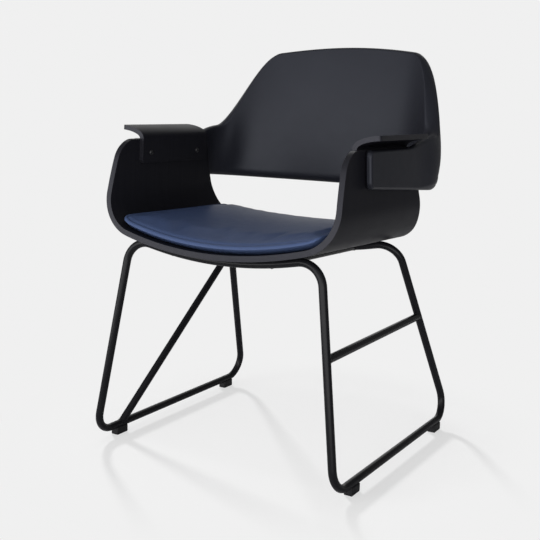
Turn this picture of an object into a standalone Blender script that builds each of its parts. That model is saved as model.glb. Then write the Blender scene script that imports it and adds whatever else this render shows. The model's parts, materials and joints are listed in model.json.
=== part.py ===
"""Dining armchair: bent plywood seat shell, armrests and a padded wrap-around back on a tubular sled base.

Metres, +Z up, floor at z = 0. The chair faces -Y. Right and left are the sitter's, so right is -X.
"""
import math

import bmesh
import bpy
from mathutils import Matrix, Vector

# Gap kept between pieces that touch.
CLEAR = 0.0003

# Sled base: one bent tube, joined from two halves.
TUBE_R = 0.008
RUNNER_X = 0.280
RUNNER_FRONT_Y = -0.280
RUNNER_REAR_Y = 0.280
FRONT_LEG_IN = 0.150
FRONT_LEG_BACK = 0.097
REAR_LEG_IN = 0.1675
REAR_LEG_FORWARD = 0.428
FLOOR_BEND_R = 0.042
TOP_BEND_R = 0.047
CROSS_ARC_HALF = 0.155
SPIGOT_R = 0.0056
SPIGOT_HALF = 0.030
BRACE_RUNNER_Y = -0.200
BRACE_TOP_RISE = 0.347
BAR_RISE = 0.240
RAIL_X = 0.112
RAIL_SHORT = 0.003

# Glides under the runners.
GLIDE_HEIGHT = 0.013
GLIDE_Y = 0.205
GLIDE_LENGTH = 0.034
GLIDE_WIDTH = 0.018
GLIDE_SADDLE = 0.004
GLIDE_ROUND = 0.002
PEG_R = 0.003
PEG_DEPTH = 0.010

# Seat shell: seat and arms bent from one sheet.
SHELL_T = 0.0115
SHELL_BOTTOM_Z = 0.420
SHELL_HALF_WIDTH = 0.2645
SEAT_CURVE_R = 0.820
ARM_BEND_R = 0.081
ARM_LEAN = math.radians(3.0)
ARM_TOP_Z = 0.632
ARM_CORNER_R = 0.036
SHELL_FRONT_Y = -0.283
SHELL_REAR_Y = 0.210
ARM_SETBACK = 0.055
ARM_REAR_Y = 0.068
SEAT_FALL = math.tan(math.radians(1.3))
FALL_FADE_START = 0.4

# Armrest plates, curled outwards over the arm tops. A drop is measured down from the arm tops, a rise up.
PLATE_T = 0.0095
PLATE_FRONT_Y = -0.176
PLATE_REAR_Y = 0.050
PLATE_DROP = 0.049
CURL_REACH = 0.047
CURL_RISE = 0.015
PLATE_CORNER_R = 0.007
ARM_SCREW_DROP = 0.0275
ARM_SCREW_Y = {"front": -0.150, "rear": 0.012}

# Backrest: plywood core between two pads. Its tabs reach as high as the arms.
CORE_T = 0.009
CORE_EDGE = 0.014
CORE_END = 0.014
CORE_FIT = 0.0009
TAB_PAD_T = 0.004
TAB_FRONT_Y = -0.175
TAB_CORNER_R = 0.012
TAB_EDGE_R = 0.005
BACK_REF_DROP = 0.044
BACK_Y = 0.236
BACK_CORNER_Y = 0.080
BACK_SQUARENESS = 2.7
BACK_LEAN = math.radians(5.5)
BACK_SHOULDER_RISE = 0.1925
BACK_ARCH = 0.0145
ARCH_END = 0.180
SHOULDER_START = 0.166
SHOULDER_END = 0.312
WING_RISE = 0.0255
WING_FALL_START = 0.300
WING_FALL_END = 0.440
BACK_LEAN_START = 0.160
BACK_LEAN_END = 0.325
BACK_TILT = math.radians(4.5)
TILT_FADE_START = 0.200
TILT_FADE_END = 0.380
BACK_BOTTOM_DROP = 0.0815
BACK_BOTTOM_FALL = 0.070
BACK_PAD_FRONT_T = 0.015
BACK_PAD_REAR_T = 0.019
BACK_FRONT_CROWN = 0.006
BACK_REAR_CROWN = 0.004
BACK_FRONT_LOW_RIM = 0.022
BACK_FRONT_TOP_RIM = 0.007
BACK_REAR_LOW_RIM = 0.032
BACK_REAR_TOP_RIM = 0.018
TAB_RIM = 0.006
PAD_SWELL_LENGTH = 0.060

# Seat pad on its board.
BOARD_T = 0.004
BOARD_INSET = 0.020
BOARD_ROOM = 0.002
BOARD_EDGE_BAND = 0.032
PAD_SIDE = 0.250
PAD_FRONT_INSET = 0.009
PAD_REAR_INSET = 0.010
PAD_EDGE_T = 0.022
PAD_WAIST = 0.008
PAD_TUCK = 0.004
PAD_ROUND = 0.022
PAD_CORNER_R = 0.025
PAD_CROWN = 0.010
PAD_ROUND_STEPS = (0.0, 0.08, 0.28, 0.6, 1.0)

# Screws and threaded inserts.
SCREW_R = 0.003
SCREW_HEAD_R = 0.0055
SCREW_HEAD_H = 0.0032
SCREW_SOCKET_R = 0.0023
SCREW_SOCKET_DEPTH = 0.0018
INSERT_R = 0.005
INSERT_LENGTH = 0.0085
SHELL_SCREW_Y = {"front": -0.150, "rear": 0.030}
COUNTERBORE_DEPTH = 0.004

# Facets.
TUBE_FACETS = 4
ROUND_FACETS = 12
BEND_STEPS = 7
CURL_STEPS = 9
CROSS_STEP = 0.030
ARM_BEND_STEPS = 14
SEAT_STEPS = 8
CORNER_STEPS = 5
SHELL_ROWS = 5
BACK_CURVE_STATIONS = 18
TAB_STATIONS = 5
BACK_LINE_STEPS = 400
TAB_END_STEPS = (0.0, 0.06, 0.22, 0.5, 0.85)
CORE_STEPS = 5
PAD_COLUMNS = 10
PAD_ROWS = 6
RIM_STEPS = 4
CROWN_STEPS = 4

SIDES = {"right": -1, "left": 1}
RUNNER_Z = GLIDE_HEIGHT + TUBE_R


def smoothstep(t):
    t = min(max(t, 0.0), 1.0)
    return t * t * (3 - 2 * t)


def mix(a, b, t):
    return a + (b - a) * t


def quarter_round(distance, radius):
    """How far a quarter circle has dropped at this distance from its end."""
    if distance >= radius:
        return 0.0
    return radius * (1 - math.sqrt(1 - (1 - distance / radius) ** 2))


# Scene, collections and materials

def clear_scene():
    for obj in list(bpy.data.objects):
        bpy.data.objects.remove(obj, do_unlink=True)


def make_material(name, colour, roughness, metallic=0.0):
    mat = bpy.data.materials.new(name)
    mat.use_nodes = True
    shader = mat.node_tree.nodes["Principled BSDF"]
    shader.inputs["Base Color"].default_value = (*colour, 1.0)
    shader.inputs["Roughness"].default_value = roughness
    shader.inputs["Metallic"].default_value = metallic
    return mat


clear_scene()
PARTS = bpy.data.collections.new("dining_armchair")
CUTTERS = bpy.data.collections.new("cutters")
bpy.context.scene.collection.children.link(PARTS)
bpy.context.scene.collection.children.link(CUTTERS)
ROOT = bpy.data.objects.new("chair_origin", None)
PARTS.objects.link(ROOT)

LACQUER = make_material("black_lacquered_plywood", (0.012, 0.012, 0.014), 0.45)
CORE_PLY = make_material("plain_plywood", (0.52, 0.38, 0.24), 0.7)
BACK_LEATHER = make_material("black_leather", (0.018, 0.018, 0.022), 0.5)
SEAT_LEATHER = make_material("navy_leather", (0.020, 0.034, 0.085), 0.45)
POWDER_COAT = make_material("black_powder_coat", (0.010, 0.010, 0.011), 0.5)
GLIDE_PLASTIC = make_material("black_plastic", (0.008, 0.008, 0.008), 0.6)
SCREW_STEEL = make_material("black_screw_steel", (0.03, 0.03, 0.03), 0.4, 1.0)
BRASS = make_material("brass", (0.70, 0.52, 0.25), 0.35, 1.0)


# Making objects

def add_object(name, data, material=None, matrix=None, collection=PARTS):
    obj = bpy.data.objects.new(name, data)
    collection.objects.link(obj)
    obj.parent = ROOT
    if matrix is not None:
        obj.matrix_basis = matrix
    if material is not None and not data.materials:
        data.materials.append(material)
    if collection is CUTTERS:
        obj.hide_render = True
        obj.display_type = "WIRE"
    return obj


def mesh_from_bmesh(name, bm, smooth_angle=35.0):
    mesh = bpy.data.meshes.new(name)
    bm.to_mesh(mesh)
    bm.free()
    mesh.shade_smooth()
    mesh.set_sharp_from_angle(angle=math.radians(smooth_angle))
    return mesh


def evaluated_mesh(obj):
    """A plain mesh of an object with its modifiers, its loose caps welded."""
    bpy.context.view_layer.update()
    graph = bpy.context.evaluated_depsgraph_get()
    mesh = bpy.data.meshes.new_from_object(obj.evaluated_get(graph))
    bm = bmesh.new()
    bm.from_mesh(mesh)
    bmesh.ops.remove_doubles(bm, verts=bm.verts, dist=1e-6)
    bm.to_mesh(mesh)
    bm.free()
    return mesh


def cut(obj, cutter, operation="DIFFERENCE"):
    mod = obj.modifiers.new(cutter.name, "BOOLEAN")
    mod.operation = operation
    mod.object = cutter


def axes_matrix(origin, z_axis, x_axis):
    z = Vector(z_axis).normalized()
    y = z.cross(Vector(x_axis)).normalized()
    x = y.cross(z)
    turn = Matrix((x, y, z)).transposed().to_4x4()
    return Matrix.Translation(origin) @ turn


def cylinder_mesh(name, radius, low, high, facets=ROUND_FACETS):
    bm = bmesh.new()
    place = Matrix.Translation((0, 0, (low + high) / 2))
    bmesh.ops.create_cone(bm, cap_ends=True, segments=facets, radius1=radius, radius2=radius,
                          depth=high - low, matrix=place)
    return mesh_from_bmesh(name, bm)


def cylinder_cutter(name, radius, low, high, matrix, facets=ROUND_FACETS):
    mesh = cylinder_mesh(name, radius, low, high, facets)
    return add_object(name, mesh, matrix=matrix, collection=CUTTERS)


def turned(name, profile, closed, facets=ROUND_FACETS):
    """Mesh of a profile of (radius, height) points turned about Z; the points run down the outer side."""
    mesh = bpy.data.meshes.new(name)
    edges = [(k, k + 1) for k in range(len(profile) - 1)]
    if closed:
        edges.append((len(profile) - 1, 0))
    mesh.from_pydata([(r, 0, z) for r, z in profile], edges, [])
    pattern = add_object(name, mesh, collection=CUTTERS)
    screw = pattern.modifiers.new("turn", "SCREW")
    screw.steps = facets
    screw.render_steps = facets
    screw.use_merge_vertices = True
    screw.merge_threshold = 1e-6
    result = evaluated_mesh(pattern)
    bpy.data.objects.remove(pattern)
    result.shade_smooth()
    result.set_sharp_from_angle(angle=math.radians(35))
    return result


def tube_mesh(name, points, radius):
    """Mesh of a round tube with flat ends along a polyline."""
    curve = bpy.data.curves.new(name, "CURVE")
    curve.dimensions = "3D"
    curve.bevel_depth = radius
    curve.bevel_resolution = TUBE_FACETS
    curve.use_fill_caps = True
    spline = curve.splines.new("POLY")
    spline.points.add(len(points) - 1)
    for target, point in zip(spline.points, points):
        target.co = (*point, 1.0)
    pattern = add_object(name, curve, collection=CUTTERS)
    mesh = evaluated_mesh(pattern)
    bpy.data.objects.remove(pattern)
    mesh.shade_smooth()
    mesh.set_sharp_from_angle(angle=math.radians(50))
    return mesh


def sheet_mesh(name, grid, flip):
    """Open surface through a grid of points; flip turns its faces over."""
    bm = bmesh.new()
    rows = [[bm.verts.new(p) for p in column] for column in grid]
    for left, right in zip(rows, rows[1:]):
        for k in range(len(left) - 1):
            corners = [left[k], right[k], right[k + 1], left[k + 1]]
            bm.faces.new(reversed(corners) if flip else corners)
    return mesh_from_bmesh(name, bm)


def loft_mesh(name, rings):
    """Closed body through rings of equal point count, with a flat face on each end."""
    bm = bmesh.new()
    loops = [[bm.verts.new(p) for p in ring] for ring in rings]
    count = len(loops[0])
    for near, far in zip(loops, loops[1:]):
        for k in range(count):
            bm.faces.new((near[k], near[(k + 1) % count], far[(k + 1) % count], far[k]))
    bm.faces.new(loops[0])
    bm.faces.new(loops[-1])
    bmesh.ops.recalc_face_normals(bm, faces=bm.faces)
    return mesh_from_bmesh(name, bm, 30.0)


# The shell's bent section

SEAT_TURN = math.asin((SHELL_HALF_WIDTH - ARM_BEND_R) / (SEAT_CURVE_R - ARM_BEND_R))
SEAT_ARC = SEAT_CURVE_R * SEAT_TURN
BEND_ANGLE = math.pi / 2 + ARM_LEAN - SEAT_TURN
BEND_END = SEAT_ARC + ARM_BEND_R * BEND_ANGLE
BEND_CENTRE_X = (SEAT_CURVE_R - ARM_BEND_R) * math.sin(SEAT_TURN)
BEND_CENTRE_Z = SHELL_BOTTOM_Z + SEAT_CURVE_R - (SEAT_CURVE_R - ARM_BEND_R) * math.cos(SEAT_TURN)


def shell_section(s):
    """Point and turning angle of the outer face, s along the section from the middle of the seat."""
    run = abs(s)
    if run <= SEAT_ARC:
        angle = run / SEAT_CURVE_R
        x = SEAT_CURVE_R * math.sin(angle)
        z = SHELL_BOTTOM_Z + SEAT_CURVE_R * (1 - math.cos(angle))
    else:
        angle = SEAT_TURN + min(run - SEAT_ARC, BEND_END - SEAT_ARC) / ARM_BEND_R
        rise = max(run - BEND_END, 0.0)
        x = BEND_CENTRE_X + ARM_BEND_R * math.sin(angle) + rise * math.cos(angle)
        z = BEND_CENTRE_Z - ARM_BEND_R * math.cos(angle) + rise * math.sin(angle)
    return math.copysign(x, s), z, math.copysign(angle, s)


def fall_at(s, y):
    """How far the seat has dropped at this depth; the drop fades out in the bend, so the arms stay level."""
    fade = mix(SEAT_ARC, BEND_END, FALL_FADE_START)
    return SEAT_FALL * (y - SHELL_FRONT_Y) * (1 - smoothstep((abs(s) - fade) / (BEND_END - fade)))


def shell_point(s, y, inside=0.0):
    """Point at a distance inside (or, if negative, outside) the shell's outer face."""
    x, z, angle = shell_section(s)
    return Vector((x - inside * math.sin(angle), y, z + inside * math.cos(angle) - fall_at(s, y)))


def shell_normal(s):
    angle = shell_section(s)[2]
    return Vector((-math.sin(angle), 0, math.cos(angle)))


ARM_TOP_RUN = BEND_END + (ARM_TOP_Z - shell_section(BEND_END)[1]) / math.cos(ARM_LEAN)


def front_edge(s):
    t = abs(s) / ARM_TOP_RUN
    return SHELL_FRONT_Y + ARM_SETBACK * (t ** 2 + t ** 4) / 2


def rear_edge(s):
    return mix(SHELL_REAR_Y, ARM_REAR_Y, smoothstep(abs(s) / ARM_TOP_RUN))


def arm_outer_x(z):
    """Half-width over the outer faces of the arms, at a height on their straight part."""
    end_x, end_z, _ = shell_section(BEND_END)
    return end_x - (z - end_z) * math.tan(ARM_LEAN)


def arm_axes(side):
    """Outward normal and upward direction of an arm's outer face."""
    out = Vector((side * math.cos(ARM_LEAN), 0, math.sin(ARM_LEAN)))
    up = Vector((-side * math.sin(ARM_LEAN), 0, math.cos(ARM_LEAN)))
    return out, up


def half_section_runs():
    """Runs from the seat's middle to the arm top, with the inset of the rounded arm corner at each."""
    runs = [SEAT_ARC * k / SEAT_STEPS for k in range(SEAT_STEPS)]
    runs += [mix(SEAT_ARC, BEND_END, k / ARM_BEND_STEPS) for k in range(ARM_BEND_STEPS + 1)]
    straight = ARM_TOP_RUN - ARM_CORNER_R
    runs += [mix(BEND_END, straight, k / 3) for k in (1, 2, 3)]
    steps = [(run, 0.0) for run in runs]
    for k in range(1, CORNER_STEPS + 1):
        turn = math.pi / 2 * k / CORNER_STEPS
        steps.append((straight + ARM_CORNER_R * math.sin(turn), ARM_CORNER_R * (1 - math.cos(turn))))
    return steps


def build_shell():
    half = half_section_runs()
    columns = [(-run, inset) for run, inset in reversed(half[1:])] + half
    grid = []
    for s, inset in columns:
        front = front_edge(s) + inset
        rear = rear_edge(s) - inset
        depths = [mix(front, rear, k / SHELL_ROWS) for k in range(SHELL_ROWS + 1)]
        grid.append([shell_point(s, y) for y in depths])
    shell = add_object("seat_shell", sheet_mesh("seat_shell", grid, flip=False), LACQUER)
    solid = shell.modifiers.new("ply", "SOLIDIFY")
    solid.thickness = SHELL_T
    solid.offset = 1.0
    solid.use_even_offset = True
    return shell


def build_armrest(name, side):
    """Plate on the arm's inner face; over the arm it follows a quarter of an ellipse."""
    out, up = arm_axes(side)
    low_z = ARM_TOP_Z - PLATE_DROP
    lower = Vector((side * (arm_outer_x(low_z) - (SHELL_T + CLEAR) / math.cos(ARM_LEAN)), 0, low_z))
    climb = PLATE_DROP / math.cos(ARM_LEAN)
    path = []
    for k in range(CORNER_STEPS + 1):
        turn = math.pi / 2 * k / CORNER_STEPS
        inset = PLATE_CORNER_R * (1 - math.sin(turn))
        path.append((lower + up * PLATE_CORNER_R * (1 - math.cos(turn)), inset))
    path.append((lower + up * mix(PLATE_CORNER_R, climb, 0.5), 0.0))
    slopes = [math.pi / 2 * k / CURL_STEPS for k in range(CURL_STEPS)]
    curl = [(math.atan(CURL_RISE / CURL_REACH * math.tan(slope)), 0.0) for slope in slopes]
    for k in range(CORNER_STEPS + 1):
        turn = math.pi / 2 * k / CORNER_STEPS
        from_edge = PLATE_CORNER_R * (1 - math.sin(turn))
        curl.append((math.acos(from_edge / CURL_REACH), PLATE_CORNER_R * (1 - math.cos(turn))))
    for angle, inset in curl:
        over = out * CURL_REACH * (1 - math.cos(angle)) + up * CURL_RISE * math.sin(angle)
        path.append((lower + up * climb + over, inset))
    grid = []
    for point, inset in path:
        depths = (PLATE_FRONT_Y + inset, PLATE_REAR_Y - inset)
        grid.append([Vector((point.x, y, point.z)) for y in depths])
    plate = add_object(name, sheet_mesh(name, grid, flip=side < 0), LACQUER)
    solid = plate.modifiers.new("ply", "SOLIDIFY")
    solid.thickness = PLATE_T
    solid.offset = 1.0
    solid.use_even_offset = True
    return plate


# Backrest

BACK_REF_Z = ARM_TOP_Z - BACK_REF_DROP
BACK_SIDE_X = arm_outer_x(BACK_REF_Z) + (CLEAR + TAB_PAD_T + CORE_T / 2) / math.cos(ARM_LEAN)


def back_plan():
    """Half of the core's middle line in plan, from the back's middle to the tab's end, closely spaced."""
    depth = BACK_Y - BACK_CORNER_Y
    line = []
    for k in range(BACK_LINE_STEPS + 1):
        turn = math.pi / 2 * k / BACK_LINE_STEPS
        x = BACK_SIDE_X * math.sin(turn) ** (2 / BACK_SQUARENESS)
        y = BACK_CORNER_Y + depth * math.cos(turn) ** (2 / BACK_SQUARENESS)
        line.append(Vector((x, y, 0)))
    line.append(Vector((BACK_SIDE_X, TAB_FRONT_Y, 0)))
    return line


def walk(line, distance):
    """Point and direction at a distance along a polyline."""
    left = distance
    for a, b in zip(line, line[1:]):
        step = (b - a).length
        if left <= step or b is line[-1]:
            way = (b - a).normalized()
            return a + way * left, way
        left -= step


BACK_LINE = back_plan()
BACK_HALF_RUN = sum((b - a).length for a, b in zip(BACK_LINE, BACK_LINE[1:]))


def back_station(run):
    """Everything that the backrest's cross-section needs at a signed distance from its middle."""
    side = math.copysign(1, run)
    along = abs(run)
    point, way = walk(BACK_LINE, along)
    inward = Vector((side * way.y, -way.x, 0))
    turned_in = smoothstep((along - BACK_LEAN_START) / (BACK_LEAN_END - BACK_LEAN_START))
    lean = mix(-BACK_LEAN, ARM_LEAN, turned_in)
    tilt = BACK_TILT * (1 - smoothstep((along - TILT_FADE_START) / (TILT_FADE_END - TILT_FADE_START)))
    rise = Vector((0, math.tan(tilt), 1)) + inward * math.tan(lean)
    station = {"origin": Vector((side * point.x, point.y, BACK_REF_Z)), "up": rise}
    station["inward"] = Vector((way.x, side * way.y, 0)).cross(rise).normalized()
    wing = smoothstep((WING_FALL_END - along) / (WING_FALL_END - WING_FALL_START))
    shoulder = smoothstep((SHOULDER_END - along) / (SHOULDER_END - SHOULDER_START))
    top = ARM_TOP_Z + mix(WING_RISE * wing, BACK_SHOULDER_RISE, shoulder)
    top += BACK_ARCH * max(0.0, 1 - (along / ARCH_END) ** 2)
    bottom = ARM_TOP_Z - BACK_BOTTOM_DROP - BACK_BOTTOM_FALL * point.y
    from_end = BACK_HALF_RUN - along
    station["middle"] = (top + bottom) / 2 - BACK_REF_Z
    half = (top - bottom) / 2
    station["core_half"] = half - CORE_EDGE
    station["half"] = half - quarter_round(from_end, TAB_CORNER_R)
    station["cored"] = from_end >= CORE_END - 1e-9
    clear_of_arm = ARM_REAR_Y + ARM_CORNER_R
    front_swell = smoothstep((point.y - clear_of_arm) / PAD_SWELL_LENGTH)
    rear_swell = smoothstep((point.y + PAD_SWELL_LENGTH - clear_of_arm) / (2 * PAD_SWELL_LENGTH))
    tab = CORE_T / 2 + TAB_PAD_T
    edge = quarter_round(from_end, TAB_EDGE_R)
    station["front"] = (mix(tab, BACK_PAD_FRONT_T, front_swell), BACK_FRONT_CROWN * front_swell,
                        mix(TAB_RIM, BACK_FRONT_LOW_RIM, front_swell),
                        mix(TAB_RIM, BACK_FRONT_TOP_RIM, front_swell))
    station["rear"] = (mix(tab, BACK_PAD_REAR_T, rear_swell) - edge, BACK_REAR_CROWN * rear_swell,
                       mix(TAB_RIM, BACK_REAR_LOW_RIM, rear_swell),
                       mix(TAB_RIM, BACK_REAR_TOP_RIM, rear_swell))
    return station


def on_station(station, v, n):
    return station["origin"] + station["up"] * (station["middle"] + v) + station["inward"] * n


def pad_ring(station, face, sign):
    """Outline of one pad in a cross-section: rounded rims, crowned face, recess for the core."""
    thick, crown, low_rim, top_rim = station[face]
    low = low_rim - station["half"]
    high = station["half"] - top_rim
    base = CLEAR / 2
    turns = [math.pi / 2 * k / RIM_STEPS for k in range(RIM_STEPS + 1)]
    outline = [(low - low_rim * math.cos(turn), mix(base, thick, math.sin(turn))) for turn in turns]
    for k in range(1, CROWN_STEPS):
        t = k / CROWN_STEPS
        outline.append((mix(low, high, t), thick + 4 * crown * t * (1 - t)))
    outline += [(high + top_rim * math.sin(turn), mix(base, thick, math.cos(turn))) for turn in turns]
    core = station["core_half"] + CORE_FIT
    if station["cored"]:
        floor = CORE_T / 2 + CORE_FIT
        outline.append((core, base))
        outline += [(mix(core, -core, k / CORE_STEPS), floor) for k in range(CORE_STEPS + 1)]
        outline.append((-core, base))
    else:
        count = CORE_STEPS + 2
        outline += [(mix(high, low, k / count), base) for k in range(count + 1)]
    return [on_station(station, v, sign * n) for v, n in outline]


def core_ring(station):
    half = station["core_half"]
    levels = [mix(-half, half, k / CORE_STEPS) for k in range(CORE_STEPS + 1)]
    outline = [(v, -CORE_T / 2) for v in levels] + [(v, CORE_T / 2) for v in reversed(levels)]
    return [on_station(station, v, n) for v, n in outline]


def back_runs():
    """Signed distances of the backrest's cross-sections, closer together at the rounded tab ends."""
    ends = [TAB_CORNER_R * w for w in TAB_END_STEPS]
    ends.append(CORE_END)
    straight = BACK_HALF_RUN - (BACK_CORNER_Y - TAB_FRONT_Y)
    half = [straight * k / BACK_CURVE_STATIONS for k in range(1, BACK_CURVE_STATIONS)]
    half += [mix(straight, BACK_HALF_RUN - CORE_END, k / TAB_STATIONS) for k in range(TAB_STATIONS)]
    half += [BACK_HALF_RUN - d for d in reversed(ends)]
    return [-run for run in reversed(half)] + [0.0] + half


def build_backrest():
    stations = [back_station(run) for run in back_runs()]
    front = loft_mesh("backrest_front_pad", [pad_ring(st, "front", 1) for st in stations])
    rear = loft_mesh("backrest_rear_pad", [pad_ring(st, "rear", -1) for st in stations])
    core = loft_mesh("backrest_core", [core_ring(st) for st in stations if st["cored"]])
    return (add_object("backrest_core", core, CORE_PLY),
            add_object("backrest_front_pad", front, BACK_LEATHER),
            add_object("backrest_rear_pad", rear, BACK_LEATHER))


# Seat pad and its board

def pad_grid(insets, height):
    """Grid over the seat; each inset is a distance from the pad's edge, and height gives the offset there."""
    deep = insets[-1]
    span = PAD_SIDE - deep
    across = [-PAD_SIDE + d for d in insets[:-1]]
    across += [mix(-span, span, k / PAD_COLUMNS) for k in range(PAD_COLUMNS + 1)]
    across += [PAD_SIDE - d for d in reversed(insets[:-1])]
    grid = []
    for s in across:
        side = PAD_SIDE - abs(s)
        corner = quarter_round(side, PAD_CORNER_R)
        front = front_edge(s) + PAD_FRONT_INSET + corner
        rear = rear_edge(s) - PAD_REAR_INSET - corner
        depths = [front + d for d in insets[:-1]]
        depths += [mix(front + deep, rear - deep, k / PAD_ROWS) for k in range(PAD_ROWS + 1)]
        depths += [rear - d for d in reversed(insets[:-1])]
        grid.append([shell_point(s, y, SHELL_T + CLEAR + height(side, y - front, rear - y)) for y in depths])
    return grid


def pad_top(side, front, rear):
    """Height of the cushion's upper face over the shell."""
    rounding = 1.0
    for d in (side, front, rear):
        rounding *= 1 - quarter_round(d, PAD_ROUND) / PAD_ROUND
    crown = (1 - (1 - side / PAD_SIDE) ** 2) * (1 - ((front - rear) / (front + rear)) ** 2)
    return PAD_WAIST + (PAD_EDGE_T - PAD_WAIST) * rounding + PAD_CROWN * crown


def pad_bottom(side, front, rear):
    """Flat on the shell round the edge, raised over the board."""
    raised = min(side, front, rear) > BOARD_INSET - 1.5 * BOARD_ROOM
    return BOARD_T + CLEAR if raised else 0.0


def build_seat_pad():
    steps = [PAD_ROUND * w for w in PAD_ROUND_STEPS]
    top = pad_grid(steps, pad_top)
    low_edge = BOARD_INSET - 2 * BOARD_ROOM
    bottom_steps = [PAD_TUCK, (PAD_TUCK + low_edge) / 2, low_edge, BOARD_INSET - BOARD_ROOM, BOARD_EDGE_BAND]
    bottom = pad_grid(bottom_steps, pad_bottom)
    bm = bmesh.new()
    faces = []
    for grid in (top, bottom):
        verts = [[bm.verts.new(p) for p in column] for column in grid]
        for left, right in zip(verts, verts[1:]):
            for k in range(len(left) - 1):
                bm.faces.new((left[k], right[k], right[k + 1], left[k + 1]))
        rim = verts[0][:-1] + [column[-1] for column in verts[:-1]]
        rim += verts[-1][:0:-1] + [column[0] for column in reversed(verts[1:])]
        faces.append(rim)
    upper, lower = faces
    for k in range(len(upper)):
        n = (k + 1) % len(upper)
        bm.faces.new((upper[k], upper[n], lower[n], lower[k]))
    bmesh.ops.recalc_face_normals(bm, faces=bm.faces)
    return add_object("seat_pad", mesh_from_bmesh("seat_pad", bm, 60.0), SEAT_LEATHER)


def build_board():
    reach = PAD_SIDE - BOARD_INSET
    runs = [run for run, _ in half_section_runs() if run < reach] + [reach]
    columns = [-run for run in reversed(runs[1:])] + runs
    grid = []
    for s in columns:
        front = front_edge(s) + PAD_FRONT_INSET + BOARD_INSET
        rear = rear_edge(s) - PAD_REAR_INSET - BOARD_INSET
        depths = [mix(front, rear, k / SHELL_ROWS) for k in range(SHELL_ROWS + 1)]
        grid.append([shell_point(s, y, SHELL_T + CLEAR) for y in depths])
    board = add_object("seat_pad_board", sheet_mesh("seat_pad_board", grid, flip=False), CORE_PLY)
    solid = board.modifiers.new("ply", "SOLIDIFY")
    solid.thickness = BOARD_T
    solid.offset = 1.0
    solid.use_even_offset = True
    return board


# Sled base

def front_leg(side, rise):
    return Vector((side * (RUNNER_X - FRONT_LEG_IN * rise), RUNNER_FRONT_Y + FRONT_LEG_BACK * rise,
                   RUNNER_Z + rise))


def rear_leg(side, rise):
    return Vector((side * (RUNNER_X - REAR_LEG_IN * rise), RUNNER_REAR_Y - REAR_LEG_FORWARD * rise,
                   RUNNER_Z + rise))


def cross_point(s, y):
    """Centre line of a cross tube under the shell."""
    return shell_point(s, y, -(TUBE_R + CLEAR))


def cross_tube(leg):
    """Depth of a cross tube, and the corner where its straight end meets the leg, found by repeated steps."""
    y = leg(1, SHELL_BOTTOM_Z).y
    angle = shell_section(CROSS_ARC_HALF)[2]
    for _ in range(20):
        end = cross_point(CROSS_ARC_HALF, y)
        foot = leg(1, 0.0)
        lean_in = (foot - leg(1, 1.0)).x
        slope = math.tan(angle)
        rise = (end.z + slope * (foot.x - end.x) - foot.z) / (1 + slope * lean_in)
        corner = leg(1, rise)
        y = corner.y
    return y, corner


FRONT_CROSS_Y, FRONT_CORNER = cross_tube(front_leg)
REAR_CROSS_Y, REAR_CORNER = cross_tube(rear_leg)


def rounded_corner(before, corner, after, radius):
    """Arc of points that rounds a corner between two straight runs."""
    to_before = (before - corner).normalized()
    to_after = (after - corner).normalized()
    half = to_before.angle(to_after) / 2
    centre = corner + (to_before + to_after).normalized() * (radius / math.sin(half))
    start = corner + to_before * (radius / math.tan(half)) - centre
    end = corner + to_after * (radius / math.tan(half)) - centre
    sweep = start.angle(end)
    points = []
    for k in range(BEND_STEPS + 1):
        t = k / BEND_STEPS
        weight = (math.sin((1 - t) * sweep), math.sin(t * sweep))
        points.append(centre + (start * weight[0] + end * weight[1]) / math.sin(sweep))
    return points


def cross_arc(y, start, end):
    steps = round((end - start) / CROSS_STEP)
    return [cross_point(mix(start, end, k / steps), y) for k in range(steps + 1)]


def loop_path(side, start):
    """Centre line of half of the sled base, from the middle of the front cross tube to the rear one."""
    front = cross_arc(FRONT_CROSS_Y, start, CROSS_ARC_HALF)
    rear = cross_arc(REAR_CROSS_Y, start, CROSS_ARC_HALF)[::-1]
    floor_front = front_leg(1, 0.0)
    floor_rear = rear_leg(1, 0.0)
    path = list(front)
    path += rounded_corner(front[-1], FRONT_CORNER, floor_front, TOP_BEND_R)
    path += rounded_corner(FRONT_CORNER, floor_front, floor_rear, FLOOR_BEND_R)
    path += rounded_corner(floor_front, floor_rear, REAR_CORNER, FLOOR_BEND_R)
    path += rounded_corner(floor_rear, REAR_CORNER, rear[0], TOP_BEND_R)
    path += rear
    return [Vector((side * p.x, p.y, p.z)) for p in path]


def build_frame():
    """The two halves of the sled base, each with a larger copy that notches what is welded to it."""
    halves = {}
    notches = {}
    for word, side in SIDES.items():
        path = loop_path(side, CLEAR / 2)
        name = word + "_frame_tube"
        halves[word] = add_object(name, tube_mesh(name, path, TUBE_R), POWDER_COAT)
        notch = tube_mesh(word + "_notch", path, TUBE_R + CLEAR)
        notches[word] = add_object(word + "_notch", notch, collection=CUTTERS)
    for word, y in (("front", FRONT_CROSS_Y), ("rear", REAR_CROSS_Y)):
        name = word + "_joint_spigot"
        pin = cross_arc(y, -SPIGOT_HALF, SPIGOT_HALF)
        add_object(name, tube_mesh(name, pin, SPIGOT_R), SCREW_STEEL)
        bore = cross_arc(y, -SPIGOT_HALF - CLEAR, SPIGOT_HALF + CLEAR)
        bore_mesh = tube_mesh(word + "_spigot_bore", bore, SPIGOT_R + CLEAR)
        cutter = add_object(word + "_spigot_bore", bore_mesh, collection=CUTTERS)
        for half in halves.values():
            cut(half, cutter)
    return halves, notches


def build_braces(notches):
    diagonal = [Vector((-RUNNER_X, BRACE_RUNNER_Y, RUNNER_Z)), rear_leg(-1, BRACE_TOP_RISE)]
    brace = add_object("diagonal_brace", tube_mesh("diagonal_brace", diagonal, TUBE_R), POWDER_COAT)
    cut(brace, notches["right"])
    level = [front_leg(1, BAR_RISE), rear_leg(1, BAR_RISE)]
    bar = add_object("side_bar", tube_mesh("side_bar", level, TUBE_R), POWDER_COAT)
    cut(bar, notches["left"])


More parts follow.
